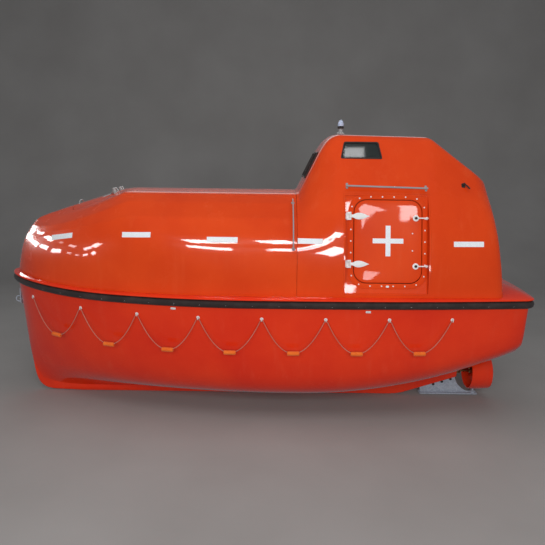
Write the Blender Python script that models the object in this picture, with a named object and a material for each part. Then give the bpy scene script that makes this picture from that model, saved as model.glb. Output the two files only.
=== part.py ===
# Totally enclosed lifeboat, 5.6 m long.
# Metres. +X points aft (the bow is at -X), +Y to starboard and +Z up.
# The origin lies on the centreline, amidships, at the light waterline.

import math

import bmesh
import bpy
from mathutils import Matrix, Vector

# Clearances
GAP = 0.0003  # between touching solids
RUN = 0.006  # round a moving panel
FLAT = 0.00001  # a face that departs less from its plane is flat
MERGE = 0.00002  # points nearer than this are one

# Driving dimensions of the hull
KEEL_Z = -0.660
DECK_Z = 0.722
CANOPY_BASE_Z = DECK_Z + 0.0010
TRIM = 0.012  # cut off the wheelhouse's lower edge, so that it sits flat
FENDER_LOW_Z = 0.620
FENDER_HIGH_Z = 0.700
FENDER_WIDTH = 0.050
LIP_WIDTH = 0.045
SHEER_RISE = 0.060  # of the deck edge at the stem
SHEER_RISE_LENGTH = 1.30
BOW_X = -2.750  # of the hull under the fender
TRANSOM_X = 2.750  # on the centreline
TRANSOM_ROUND = 0.070  # how far the transom curves forward, per metre of half-breadth squared
RISE_START_X = 0.40  # where the bottom starts to rise towards the stern
RISE_POWER = 2.1
TAPER_START_X = 0.30  # where the sides start to draw in towards the stern
TAPER_POWER = 2.2

# Keel and forefoot
KEEL_HALF_WIDTH = 0.055
KEEL_TOP_Z = -0.36
KEEL_FULL_X = -2.10  # aft of this the keel has its full width
KEEL_NOSE_X = -2.70
HEEL_START_X = 1.62  # where the keel's underside starts to rise
HEEL_END_X = 2.31
HEEL_END_Z = -0.436

# Cabin well inside the hull
WELL_WALL = 0.130
SOLE_Z = -0.300
SOLE_RISE_X = 1.75
SOLE_SLOPE = 0.40
WELL_FRONT_X = -2.05
WELL_AFT_X = 2.20

# Canopy and wheelhouse
SHELL = 0.050  # thickness of a moulding
JOINT_X = 0.374  # where the fore canopy meets the wheelhouse
WALL_LEAN = 0.114  # of the wheelhouse's aft wall, per metre of height
WALL_TOP_Z = 1.854
WALL_SHELF = 0.022  # its middle stands that far aft of its corners

# Side hatches: a flat panel set into the wheelhouse's side
PANEL_X = (0.825, 1.670)
PANEL_BASE_Z = 0.745
PANEL_BASE_Y = 0.960
PANEL_TILT = math.radians(12.2)
PANEL_HEIGHT = 0.990
PANEL_THICK = 0.022
PANEL_RIM = 0.014
DOOR_X = (0.926, 1.595)
DOOR_W = (0.120, 0.945)
DOOR_RADIUS = 0.120
DOOR_THICK = 0.034
DOOR_PROUD = 0.010
HINGE_X = 0.893
HINGE_OUT = 0.022
HINGE_W = (0.300, 0.770)
HINGE_RADIUS = 0.011
BARREL_HALF = 0.021
GRAB_RAIL_X = 0.335
DOG_X = 1.535
DOG_W = (0.295, 0.775)
DOG_REACH = 0.118

# Propeller and steering nozzle
SHAFT_Z = -0.375
SHAFT_RADIUS = 0.0175
PROPELLER_X = 2.530
PROPELLER_RADIUS = 0.172
NOZZLE_RADIUS = 0.215
NOZZLE_BORE = 0.190
STOCK_RADIUS = 0.0225
PIN_RADIUS = 0.012

# Lifelines: a rope in loops along each side, with a float at the bottom of each loop
EYE_COUNT = 8
EYE_FIRST_X = -2.456
EYE_SPACING = 0.6234
EYE_Z = 0.500
LOOP_DROP = 0.330
TURN_RADIUS = 0.018  # of the rope's bend over an eye
TURN_REACH = 0.0163  # from the eye to where that bend ends
ROPE_DIAMETER = 0.008
ROPE_OUT = 0.024  # from the hull's side to the rope's middle
LOOP_STEPS = 14
PEG_BELOW = 0.013  # from the rope's middle to the top of the peg that carries it
FLOAT_LENGTH = 0.130
FLOAT_RADIUS = 0.023

# Colours
ORANGE = (0.62, 0.068, 0.012)
ORANGE_RED = (0.53, 0.040, 0.014)
RUBBER = (0.012, 0.012, 0.013)
STEEL = (0.62, 0.62, 0.61)
GALVANISED = (0.36, 0.40, 0.45)
BRONZE = (0.48, 0.30, 0.12)
GLASS = (0.035, 0.045, 0.045)
LINING = (0.66, 0.63, 0.57)
ROPE = (0.62, 0.22, 0.09)
ENGINE = (0.10, 0.22, 0.16)


def clear_scene():
    for old in list(bpy.data.objects):
        bpy.data.objects.remove(old, do_unlink=True)


def material(name, colour, roughness, metallic=0.0, alpha=1.0):
    made = bpy.data.materials.get(name)
    if made:
        return made
    made = bpy.data.materials.new(name)
    made.use_nodes = True
    shader = made.node_tree.nodes["Principled BSDF"]
    shader.inputs["Base Color"].default_value = (*colour, 1.0)
    shader.inputs["Roughness"].default_value = roughness
    shader.inputs["Metallic"].default_value = metallic
    shader.inputs["Alpha"].default_value = alpha
    made.diffuse_color = (*colour, alpha)
    return made


def gelcoat():
    return material("canopy_gelcoat", ORANGE, 0.12)


def hull_gelcoat():
    return material("hull_gelcoat", ORANGE_RED, 0.16)


def black_rubber():
    return material("black_rubber", RUBBER, 0.45)


def stainless():
    return material("stainless_steel", STEEL, 0.25, 1.0)


def galvanised():
    return material("galvanised_steel", GALVANISED, 0.50, 1.0)


def bronze():
    return material("propeller_bronze", BRONZE, 0.30, 1.0)


def window_glass():
    return material("window_glass", GLASS, 0.06, 0.0, 0.6)


def lining():
    return material("cabin_lining", LINING, 0.50)


def rope():
    return material("lifeline_rope", ROPE, 0.80)


def engine_paint():
    return material("engine_paint", ENGINE, 0.45)


def keep(name, bm, finish, smooth_angle=30):
    """Turn a bmesh into a named object with its material."""
    mesh = bpy.data.meshes.new(name)
    bm.normal_update()
    bm.to_mesh(mesh)
    bm.free()
    mesh.materials.append(finish)
    mesh.shade_smooth()
    mesh.set_sharp_from_angle(angle=math.radians(smooth_angle))
    made = bpy.data.objects.new(name, mesh)
    bpy.context.collection.objects.link(made)
    return made


def put_origin(piece, point):
    """Move a piece's origin to a point, such as one on its joint's axis, and keep the piece in place."""
    piece.data.transform(Matrix.Translation(-Vector(point)))
    piece.location = point


def evaluated(piece):
    """Replace a piece's mesh with what its modifiers make of it."""
    graph = bpy.context.evaluated_depsgraph_get()
    mesh = bpy.data.meshes.new_from_object(piece.evaluated_get(graph))
    piece.modifiers.clear()
    bm = bmesh.new()
    bm.from_mesh(mesh)
    bmesh.ops.remove_doubles(bm, verts=bm.verts, dist=MERGE)
    bmesh.ops.dissolve_degenerate(bm, dist=MERGE, edges=bm.edges)
    bm.to_mesh(mesh)
    bm.free()
    piece.data = mesh
    return piece


def combine(piece, other, operation):
    """Boolean of two pieces, which uses up the second."""
    modifier = piece.modifiers.new("combine", "BOOLEAN")
    modifier.operation = operation
    modifier.solver = "EXACT"
    modifier.object = other
    evaluated(piece)
    bpy.data.objects.remove(other, do_unlink=True)
    return piece


def cut(piece, cutter):
    return combine(piece, cutter, "DIFFERENCE")


def join(piece, other):
    return combine(piece, other, "UNION")


def trim(piece, shape):
    return combine(piece, shape, "INTERSECT")


def split_bent_faces(bm):
    """Turn the faces that aren't flat into triangles, because a Boolean takes every face as flat."""
    bm.normal_update()
    bent = []
    for face in bm.faces:
        middle = face.calc_center_median()
        if any(abs((vertex.co - middle).dot(face.normal)) > FLAT for vertex in face.verts):
            bent.append(face)
    bmesh.ops.triangulate(bm, faces=bent)


def closed(bm):
    bmesh.ops.remove_doubles(bm, verts=bm.verts, dist=MERGE)
    bmesh.ops.dissolve_degenerate(bm, dist=MERGE, edges=bm.edges)
    split_bent_faces(bm)
    bmesh.ops.recalc_face_normals(bm, faces=bm.faces)
    return bm


def prism(outline, low, high, place):
    """A closed prism. The outline's points and the two levels go through place(a, b, level)."""
    bm = bmesh.new()
    bottom = [bm.verts.new(place(a, b, low)) for a, b in outline]
    top = [bm.verts.new(place(a, b, high)) for a, b in outline]
    bm.faces.new(bottom)
    bm.faces.new(reversed(top))
    count = len(outline)
    for i in range(count):
        j = (i + 1) % count
        bm.faces.new((bottom[i], top[i], top[j], bottom[j]))
    bmesh.ops.recalc_face_normals(bm, faces=bm.faces)
    return bm


def box(low, high):
    outline = [(low[0], low[1]), (high[0], low[1]), (high[0], high[1]), (low[0], high[1])]
    return prism(outline, low[2], high[2], lambda x, y, z: (x, y, z))


def rounded_outline(a_range, b_range, radius, steps=5):
    """A rectangle with round corners, as points in order."""
    points = []
    corners = [
        (a_range[1] - radius, b_range[1] - radius, 0),
        (a_range[0] + radius, b_range[1] - radius, 90),
        (a_range[0] + radius, b_range[0] + radius, 180),
        (a_range[1] - radius, b_range[0] + radius, 270),
    ]
    for centre_a, centre_b, start in corners:
        for step in range(steps + 1):
            angle = math.radians(start + 90 * step / steps)
            points.append((centre_a + radius * math.cos(angle), centre_b + radius * math.sin(angle)))
    return points


def turned(profile, centre, axis, segments=24):
    """A closed solid of revolution from a closed profile of (along, radius) points."""
    bm = bmesh.new()
    along = Vector(axis).normalized()
    across = along.orthogonal().normalized()
    third = along.cross(across)
    rings = []
    for i in range(segments):
        angle = math.tau * i / segments
        out = across * math.cos(angle) + third * math.sin(angle)
        rings.append([bm.verts.new(Vector(centre) + along * a + out * r) for a, r in profile])
    count = len(profile)
    for i in range(segments):
        here, following = rings[i], rings[(i + 1) % segments]
        for k in range(count):
            m = (k + 1) % count
            if profile[k][1] == 0 and profile[m][1] == 0:
                continue
            bm.faces.new((here[k], here[m], following[m], following[k]))
    return closed(bm)


def rod(start, end, radius, segments=12):
    length = (Vector(end) - Vector(start)).length
    profile = [(0, 0), (0, radius), (length, radius), (length, 0)]
    return turned(profile, start, Vector(end) - Vector(start), segments)


def loft(rings, closed_ring=True):
    """Skin equal-length rings of points. Returns an unmerged bmesh and its rows of vertices."""
    bm = bmesh.new()
    rows = [[bm.verts.new(point) for point in ring] for ring in rings]
    count = len(rings[0])
    last = count if closed_ring else count - 1
    for here, following in zip(rows, rows[1:]):
        for k in range(last):
            m = (k + 1) % count
            bm.faces.new((here[k], following[k], following[m], here[m]))
    return bm, rows


def tube(points, radius, sides=8):
    """A round bar along a list of points, with flat ends."""
    path = [Vector(p) for p in points]
    rings = []
    side = None
    for i, point in enumerate(path):
        ahead = (path[min(i + 1, len(path) - 1)] - path[max(i - 1, 0)]).normalized()
        side = ahead.orthogonal() if side is None else side - ahead * side.dot(ahead)
        side.normalize()
        third = ahead.cross(side)
        ring = []
        for k in range(sides):
            angle = math.tau * k / sides
            ring.append(point + (side * math.cos(angle) + third * math.sin(angle)) * radius)
        rings.append(ring)
    bm, rows = loft(rings)
    bm.faces.new(rows[0])
    bm.faces.new(rows[-1])
    return closed(bm)


# Hull

# One row per line that runs from the stem to the transom, from the keel up.
# stem_x, stem_z: its fore end. mid_y, mid_z: amidships. stern_y, stern_z: at the transom.
# nose: the length over which it draws in to the stem. power, blunt: the form of that curve.
HULL_LINES = [
    # stem_x, stem_z, mid_y, mid_z, stern_y, stern_z, nose, power, blunt
    (-2.470, -0.630, 0.040, -0.590, 0.040, 0.010, 2.90, 1.7, 1.0),
    (-2.600, -0.545, 0.330, -0.520, 0.300, 0.035, 2.90, 1.7, 1.0),
    (-2.640, -0.430, 0.590, -0.440, 0.520, 0.070, 2.90, 1.8, 0.90),
    (-2.668, -0.290, 0.770, -0.340, 0.690, 0.125, 2.90, 1.9, 0.85),
    (-2.690, -0.130, 0.880, -0.200, 0.822, 0.215, 2.85, 1.9, 0.80),
    (-2.708, 0.060, 0.945, -0.010, 0.868, 0.320, 2.80, 1.9, 0.74),
    (-2.726, 0.310, 1.005, 0.280, 0.897, 0.460, 2.75, 1.9, 0.67),
    (BOW_X, 0.600, 1.060, 0.600, 0.925, 0.600, 2.70, 1.9, 0.60),
    (BOW_X, FENDER_HIGH_Z, 1.060, FENDER_HIGH_Z, 0.925, FENDER_HIGH_Z, 2.70, 1.9, 0.60),
]
SHEER_LINE = HULL_LINES[-1]


def sheer_rise(x):
    """How much higher the deck edge is at x than amidships."""
    ahead = max(0.0, 1.0 - (x - BOW_X) / SHEER_RISE_LENGTH)
    return SHEER_RISE * ahead * ahead


def line_point(line, x):
    """Half-breadth and height of a hull line at x."""
    stem_x, stem_z, mid_y, mid_z, stern_y, stern_z, nose, power, blunt = line
    ahead = min(1.0, max(0.0, 1.0 - (x - stem_x) / nose))
    half = mid_y * (1.0 - ahead**power) ** blunt
    height = mid_z + (stem_z - mid_z) * ahead**3
    aft = max(0.0, (x - TAPER_START_X) / (TRANSOM_X - TAPER_START_X))
    half += (stern_y - mid_y) * aft**TAPER_POWER
    rise = max(0.0, (x - RISE_START_X) / (TRANSOM_X - RISE_START_X))
    height += (stern_z - mid_z) * rise**RISE_POWER
    if mid_z > 0.5:
        height += sheer_rise(x)
    return half, height


def line_stations(line, count, bunch=2.2):
    """Places along a hull line, closer together near the stem."""
    stem_x, stern_y = line[0], line[4]
    aft_x = TRANSOM_X - TRANSOM_ROUND * stern_y**2
    return [stem_x + (aft_x - stem_x) * (i / (count - 1)) ** bunch for i in range(count)]


def hull_half_breadth(x, z):
    """The hull's outer half-breadth at a place and height."""
    points = [line_point(line, x) for line in HULL_LINES]
    if z >= points[-1][1]:
        return points[-1][0]
    for low, high in zip(points, points[1:]):
        if low[1] <= z <= high[1]:
            part = (z - low[1]) / (high[1] - low[1])
            return low[0] + (high[0] - low[0]) * part
    return points[0][0]


def sheer_outline(offset, count=30):
    """Points (x, half-breadth) along the deck edge, that far outside the hull's side."""
    points = []
    xs = line_stations(SHEER_LINE, count)
    for i, x in enumerate(xs):
        before = xs[max(i - 1, 0)]
        after = xs[min(i + 1, count - 1)]
        widening = line_point(SHEER_LINE, after)[0] - line_point(SHEER_LINE, before)[0]
        slope = Vector((after - before, widening))
        normal = Vector((-slope.y, slope.x)).normalized()
        if i == 0:
            points.append((x - offset / max(-normal.x, 0.5), 0.0))
        else:
            points.append((x + normal.x * offset, line_point(SHEER_LINE, x)[0] + normal.y * offset))
    return points


def outer_hull():
    """The moulded hull without its keel, closed by a flat deck."""
    count = 30
    columns = []
    for line in HULL_LINES:
        column = []
        for i, x in enumerate(line_stations(line, count)):
            half, height = line_point(line, x)
            column.append((x, 0.0 if i == 0 else half, height))
        columns.append(column)
    lip = sheer_outline(LIP_WIDTH, count)
    for level in (FENDER_HIGH_Z + 0.004, DECK_Z):
        columns.append([(x, half, level + sheer_rise(x)) for x, half in lip])
    rings = []
    for i in range(count):
        port = [(x, -y, z) for x, y, z in (column[i] for column in reversed(columns))]
        starboard = [column[i] for column in columns]
        rings.append(port + starboard)
    bm, rows = loft(rings)
    close_transom(bm, rows[-1])
    return keep("hull", closed(bm), hull_gelcoat())


def close_transom(bm, ring):
    """Fill the aft end with strips that meet on a convex centreline."""
    half = len(ring) // 2
    middle = []
    for k in range(half, len(ring)):
        height = ring[k].co.z
        proud = LIP_WIDTH if height > FENDER_HIGH_Z else 0.0
        middle.append(bm.verts.new((TRANSOM_X + proud, 0.0, height)))
    for k in range(half, len(ring) - 1):
        low, high = middle[k - half], middle[k - half + 1]
        mirror_low, mirror_high = ring[2 * half - 1 - k], ring[2 * half - 2 - k]
        bm.faces.new((ring[k], low, high, ring[k + 1]))
        bm.faces.new((mirror_low, mirror_high, high, low))
    bm.faces.new((ring[half - 1], ring[half], middle[0]))
    bm.faces.new((ring[0], ring[-1], middle[-1]))


def keel():
    """Straight keel with a round forefoot, which rises to carry the stern tube."""
    outline = [
        (-2.662, -0.300),
        (-2.648, -0.425),
        (-2.620, -0.535),
        (-2.576, -0.605),
        (-2.510, -0.646),
        (-2.420, KEEL_Z),
        (KEEL_FULL_X, KEEL_Z),
        (HEEL_START_X - 0.10, KEEL_Z),
        (HEEL_START_X + 0.06, KEEL_Z + 0.018),
        (HEEL_END_X, HEEL_END_Z),
        (HEEL_END_X, -0.080),
        (1.70, -0.200),
        (0.90, KEEL_TOP_Z),
        (KEEL_FULL_X, KEEL_TOP_Z),
        (-2.300, KEEL_TOP_Z),
        (-2.560, -0.280),
    ]
    bm = prism(outline, -KEEL_HALF_WIDTH, KEEL_HALF_WIDTH, lambda x, z, y: (x, y, z))
    for vertex in bm.verts:
        narrow = (vertex.co.x - KEEL_NOSE_X) / (KEEL_FULL_X - KEEL_NOSE_X)
        vertex.co.y *= min(1.0, max(0.25, narrow))
    split_bent_faces(bm)
    return keep("keel", bm, hull_gelcoat())


WELL_STATIONS = [WELL_FRONT_X, -1.70, -1.30, -0.80, -0.20, 0.60, 1.20, SOLE_RISE_X, WELL_AFT_X]
WELL_LEVELS = [-0.10, 0.12, 0.45, DECK_Z + 0.20]


def sole_z(x):
    """The sole is level, and slopes up behind the engine as the bottom rises."""
    return SOLE_Z + SOLE_SLOPE * max(0.0, x - SOLE_RISE_X)


def well_half_breadth(x, z):
    return max(0.05, hull_half_breadth(x, z) - WELL_WALL)


def well():
    """The cabin well: what is hollow inside the hull, from the sole up."""
    rings = []
    for x in WELL_STATIONS:
        levels = [sole_z(x)] + WELL_LEVELS
        sides = [(well_half_breadth(x, z), z) for z in levels]
        port = [(x, -y, z) for y, z in reversed(sides)]
        rings.append(port + [(x, y, z) for y, z in sides])
    bm, rows = loft(rings)
    bm.faces.new(rows[0])
    bm.faces.new(rows[-1])
    return keep("well", closed(bm), lining())


def hull():
    body = join(outer_hull(), keel())
    cut(body, well())
    stock_bore = rod((PROPELLER_X, 0, -0.30), (PROPELLER_X, 0, 0.20), STOCK_RADIUS + 0.005)
    cut(body, keep("stock_bore", stock_bore, hull_gelcoat()))
    shaft_bore = rod((HEEL_END_X - 0.06, 0, SHAFT_Z), (HEEL_END_X + 0.20, 0, SHAFT_Z), 0.036, 16)
    cut(body, keep("shaft_bore", shaft_bore, hull_gelcoat()))
    return join(body, lifeline_pegs())


# Canopy and wheelhouse

# One row per line of the moulding, from its base up to beside the centreline.
# stem_x, stem_z: on the stem. mid_y, mid_z: amidships.
# nose, power, blunt: how it draws in to the stem. rise, climb: how it comes down to the stem.
CANOPY_LINES = [
    # stem_x, stem_z, mid_y, mid_z, nose, power, blunt, rise, climb
    (-2.735, CANOPY_BASE_Z, 1.000, CANOPY_BASE_Z, 2.60, 1.9, 0.60, 1.3, 2.0),
    (-2.735, 0.765, 1.000, 0.765, 2.60, 1.9, 0.60, 1.3, 2.0),
    (-2.706, 0.985, 0.988, 0.985, 2.50, 1.9, 0.60, 1.3, 2.0),
    (-2.664, 1.125, 0.955, 1.190, 2.40, 2.0, 0.62, 1.6, 1.6),
    (-2.628, 1.195, 0.900, 1.300, 2.20, 2.1, 0.66, 1.5, 1.5),
    (-2.598, 1.240, 0.765, 1.460, 1.70, 2.1, 0.72, 1.3, 1.6),
    (-2.570, 1.285, 0.570, 1.600, 1.15, 2.0, 0.76, 1.2, 1.7),
    (-2.515, 1.345, 0.410, 1.686, 1.15, 1.9, 0.80, 1.1, 1.5),
]
CROWN_STEM = (-2.480, 1.368)
CROWN_Z = 1.720
CROWN_RISE = 0.99
CROWN_POWER = 0.80

# One row per cross-section of the wheelhouse, from the joint with the fore canopy aft.
# lean: how much of the aft wall's lean it has. The last columns are its lines' half-breadths and heights.
WHEELHOUSE_STATIONS = [
    # x, lean, base_y, shoulder_y, shoulder_z, crease_y, crease_z, edge_y, edge_z, crown_z
    (0.340, 0, 1.000, 0.955, 1.190, 0.570, 1.600, 0.410, 1.686, 1.720),
    (JOINT_X + 0.02, 0, 1.000, 0.955, 1.190, 0.570, 1.600, 0.410, 1.690, 1.725),
    (0.648, 0, 1.000, 0.952, 1.195, 0.600, 1.860, 0.430, 2.205, 2.235),
    (0.762, 0, 0.998, 0.950, 1.200, 0.610, 1.965, 0.440, 2.288, 2.317),
    (1.730, 0, 0.988, 0.940, 1.200, 0.610, 1.950, 0.440, 2.272, 2.300),
    (2.200, 1, 0.955, 0.905, 1.190, 0.600, 1.770, 0.500, 1.925, 1.945),
    (2.268, 1, 0.935, 0.885, 1.190, 0.580, 1.730, 0.480, 1.868, 1.886),
    (2.305, 1, 0.890, 0.840, 1.185, 0.545, 1.705, 0.440, 1.840, 1.856),
]
FRONT_FOOT, FRONT_TOP, ROOF_FORE, ROOF_AFT, SLOPE_FOOT = WHEELHOUSE_STATIONS[1:6]
# Where the two lines between shoulder and crease lie: part of the way along, and metres outside the chord.
BULGE = [(0.214, 0.032), (0.589, 0.040)]


def canopy_point(line, x):
    stem_x, stem_z, mid_y, mid_z, nose, power, blunt, rise, climb = line
    ahead = min(1.0, max(0.0, 1.0 - (x - stem_x) / nose))
    half = mid_y * (1.0 - ahead**power) ** blunt
    down = max(0.0, 1.0 - (x - stem_x) / rise)
    height = mid_z - (mid_z - stem_z) * (1.0 - (1.0 - down) ** climb)
    if mid_z < 0.8:
        height = mid_z + sheer_rise(x)
    return half, height


def crown_height(x):
    stem_x, stem_z = CROWN_STEM
    part = min(1.0, max(0.0, (x - stem_x) / CROWN_RISE))
    return stem_z + (CROWN_Z - stem_z) * part**CROWN_POWER


def fore_rings(aft_x, count=24, bunch=2.2):
    rings = []
    for i in range(count):
        part = (i / (count - 1)) ** bunch
        side = []
        for line in CANOPY_LINES:
            x = line[0] + (aft_x - line[0]) * part
            half, height = canopy_point(line, x)
            side.append((x, 0.0 if i == 0 else half, height))
        crown_x = CROWN_STEM[0] + (aft_x - CROWN_STEM[0]) * part
        crown = [(crown_x, 0.0, crown_height(crown_x))]
        port = [(x, -y, z) for x, y, z in side]
        rings.append(port + crown + list(reversed(side)))
    return rings


def wheelhouse_section(station):
    """The starboard points of one cross-section, from the base up, and the crown's point."""
    x, lean, base_y, shoulder_y, shoulder_z, crease_y, crease_z, edge_y, edge_z, crown_z = station
    side = [
        (base_y, CANOPY_BASE_Z - TRIM),
        (base_y, 0.765),
        (base_y - 0.012, 0.985),
        (shoulder_y, shoulder_z),
    ]
    chord = Vector((crease_y - shoulder_y, crease_z - shoulder_z))
    outward = Vector((chord.y, -chord.x)).normalized()
    for part, bulge in BULGE:
        point = Vector((shoulder_y, shoulder_z)) + chord * part + outward * bulge
        side.append((point.x, point.y))
    side.append((crease_y, crease_z))
    side.append((edge_y, edge_z))
    leaned = [(x + lean * WALL_LEAN * (WALL_TOP_Z - z), y, z) for y, z in side]
    crown = (x + lean * WALL_LEAN * (WALL_TOP_Z - crown_z), 0.0, crown_z)
    return leaned, crown


def wheelhouse_rings():
    rings = []
    for station in WHEELHOUSE_STATIONS:
        side, crown = wheelhouse_section(station)
        port = [(x, -y, z) for x, y, z in side]
        rings.append(port + [crown] + list(reversed(side)))
    return rings


def close_aft_wall(bm):
    """The aft wall of the wheelhouse: strips from each side to the centreline."""
    side, crown = wheelhouse_section(WHEELHOUSE_STATIONS[-1])
    middle = [(x + WALL_SHELF, 0.0, z) for x, y, z in side] + [crown]
    for sign in (-1, 1):
        outer = [bm.verts.new((x, sign * y, z)) for x, y, z in side] + [bm.verts.new(crown)]
        inner = [bm.verts.new(point) for point in middle]
        for k in range(len(outer) - 1):
            quad = (outer[k], inner[k], inner[k + 1], outer[k + 1])
            bm.faces.new(quad if sign > 0 else tuple(reversed(quad)))


def thickened(name, bm, finish):
    bmesh.ops.remove_doubles(bm, verts=bm.verts, dist=0.0002)
    bmesh.ops.dissolve_degenerate(bm, dist=0.0001, edges=bm.edges)
    bmesh.ops.recalc_face_normals(bm, faces=bm.faces)
    probe = max(bm.faces, key=lambda face: face.calc_center_median().z)
    if probe.normal.z < 0:
        bmesh.ops.reverse_faces(bm, faces=bm.faces)
    piece = keep(name, bm, finish)
    solid = piece.modifiers.new("wall", "SOLIDIFY")
    solid.thickness = SHELL
    solid.offset = -1.0
    solid.use_even_offset = True
    solid.thickness_clamp = 0.0
    evaluated(piece)
    bm = bmesh.new()
    bm.from_mesh(piece.data)
    split_bent_faces(bm)
    bm.to_mesh(piece.data)
    bm.free()
    return piece


def outer_wheelhouse():
    """The wheelhouse as one solid, to trim what is fitted into its side."""
    rings = wheelhouse_rings()
    bm, rows = loft(rings)
    bm.faces.new(rows[0])
    bm.faces.new(rows[-1])
    return keep("outer_wheelhouse", closed(bm), gelcoat())


def cutter(name, bm):
    return keep(name, bm, gelcoat())


def half_space(x_low, x_high):
    return cutter("half_space", box((x_low, -2.0, -1.0), (x_high, 2.0, 3.0)))


def fore_canopy():
    bm, _ = loft(fore_rings(0.60), closed_ring=False)
    piece = thickened("fore_canopy", bm, gelcoat())
    cut(piece, half_space(JOINT_X - GAP, 1.5))
    cut(piece, bow_hatch_solid("bow_hatch_hole", RUN))
    return piece


def wheelhouse():
    bm, _ = loft(wheelhouse_rings(), closed_ring=False)
    close_aft_wall(bm)
    piece = thickened("wheelhouse", bm, gelcoat())
    cut(piece, half_space(-1.0, JOINT_X))
    cut(piece, cutter("below", box((-1.0, -2.0, 0.0), (3.5, 2.0, CANOPY_BASE_Z))))
    for side in (-1, 1):
        cut(piece, side_panel_box(side, GAP))
        cut(piece, side_window_solid("hole", side, WINDOW_HOLE))
        cut(piece, front_window_solid("hole", side, WINDOW_HOLE))
    cut(piece, aft_window_solid("hole", WINDOW_HOLE))
    cut(piece, aft_hatch_solid("hole", RUN, 0.30))
    return piece


# Windows

WINDOW_HOLE = (0.0, 0.30)  # margin round the pane, and depth of the cutter
WINDOW_PANE = (-0.0005, 0.010)
PANE_INSET = 0.008


def plane_prism(name, corner, along, up, outline, depth, finish, proud=None):
    """A prism whose outline lies in a plane, given by a corner and two directions in it."""
    along = Vector(along).normalized()
    up = Vector(up)
    up = (up - along * up.dot(along)).normalized()
    out = along.cross(up)
    reach = depth / 2 if proud is None else proud
    bm = prism(
        outline,
        reach - depth,
        reach,
        lambda a, b, level: Vector(corner) + along * a + up * b + out * level,
    )
    return keep(name, bm, finish)


def grown(outline, margin):
    """Move an outline's points away from its middle by about a margin."""
    middle_a = sum(a for a, _ in outline) / len(outline)
    middle_b = sum(b for _, b in outline) / len(outline)
    points = []
    for a, b in outline:
        wide = margin * math.copysign(1, a - middle_a)
        tall = margin * math.copysign(1, b - middle_b)
        points.append((a + wide, b + tall))
    return points


def window(name, corner, along, up, outline, fit):
    margin, depth = fit
    proud = depth / 2 if depth > 0.1 else -PANE_INSET
    finish = gelcoat() if depth > 0.1 else window_glass()
    return plane_prism(name, corner, along, up, grown(outline, margin), depth, finish, proud)


def side_window_solid(name, side, fit):
    """A trapezoid pane in the facet above the wheelhouse's crease."""
    x, crease_y, crease_z, edge_y, edge_z = ROOF_FORE[0], *ROOF_FORE[5:9]
    crease = Vector((x, side * crease_y, crease_z))
    up = Vector((0.0, side * (edge_y - crease_y), edge_z - crease_z))
    outline = [(0.050, 0.105), (0.460, 0.105), (0.425, 0.285), (0.088, 0.285)]
    along = Vector((1.0, 0.0, 0.0))
    if side > 0:
        along = -along
        outline = [(-a, b) for a, b in reversed(outline)]
    return window(name, crease, along, up, outline, fit)


def front_window_solid(name, side, fit):
    """One of the two panes in the wheelhouse's front."""
    foot = Vector((FRONT_FOOT[0], 0.0, FRONT_FOOT[-1]))
    up = Vector((FRONT_TOP[0], 0.0, FRONT_TOP[-1])) - foot
    along = Vector((0.0, -1.0, 0.0))
    outline = [(0.045, 0.150), (0.330, 0.145), (0.330, 0.435), (0.045, 0.440)]
    if side > 0:
        outline = [(-a, b) for a, b in reversed(outline)]
    return window(name, foot, along, up, outline, fit)


def aft_window_solid(name, fit):
    """The pane in the slope behind the wheelhouse's roof."""
    top = Vector((ROOF_AFT[0], 0.0, ROOF_AFT[-1]))
    foot = Vector((SLOPE_FOOT[0] + WALL_LEAN * (WALL_TOP_Z - SLOPE_FOOT[-1]), 0.0, SLOPE_FOOT[-1]))
    outline = [(-0.30, 0.14), (0.30, 0.14), (0.28, 0.46), (-0.28, 0.46)]
    return window(name, foot, (0.0, 1.0, 0.0), top - foot, outline, fit)


# Hatches

def on_panel(side):
    """Place local (x, outward, up-slope) points on the side hatch's panel."""
    sine, cosine = math.sin(PANEL_TILT), math.cos(PANEL_TILT)

    def place(x, out, up):
        y = PANEL_BASE_Y + out * cosine - up * sine
        return Vector((x, side * y, PANEL_BASE_Z + out * sine + up * cosine))

    return place


def panel_prism(name, side, outline, low, high, finish):
    place = on_panel(side)
    return keep(name, prism(outline, low, high, lambda x, up, out: place(x, out, up)), finish)


def side_panel_box(side, margin):
    outline = [
        (PANEL_X[0] - margin, -margin),
        (PANEL_X[1] + margin, -margin),
        (PANEL_X[1] + margin, PANEL_HEIGHT + margin),
        (PANEL_X[0] - margin, PANEL_HEIGHT + margin),
    ]
    return panel_prism("panel_box", side, outline, -0.16, 0.30, gelcoat())


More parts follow.
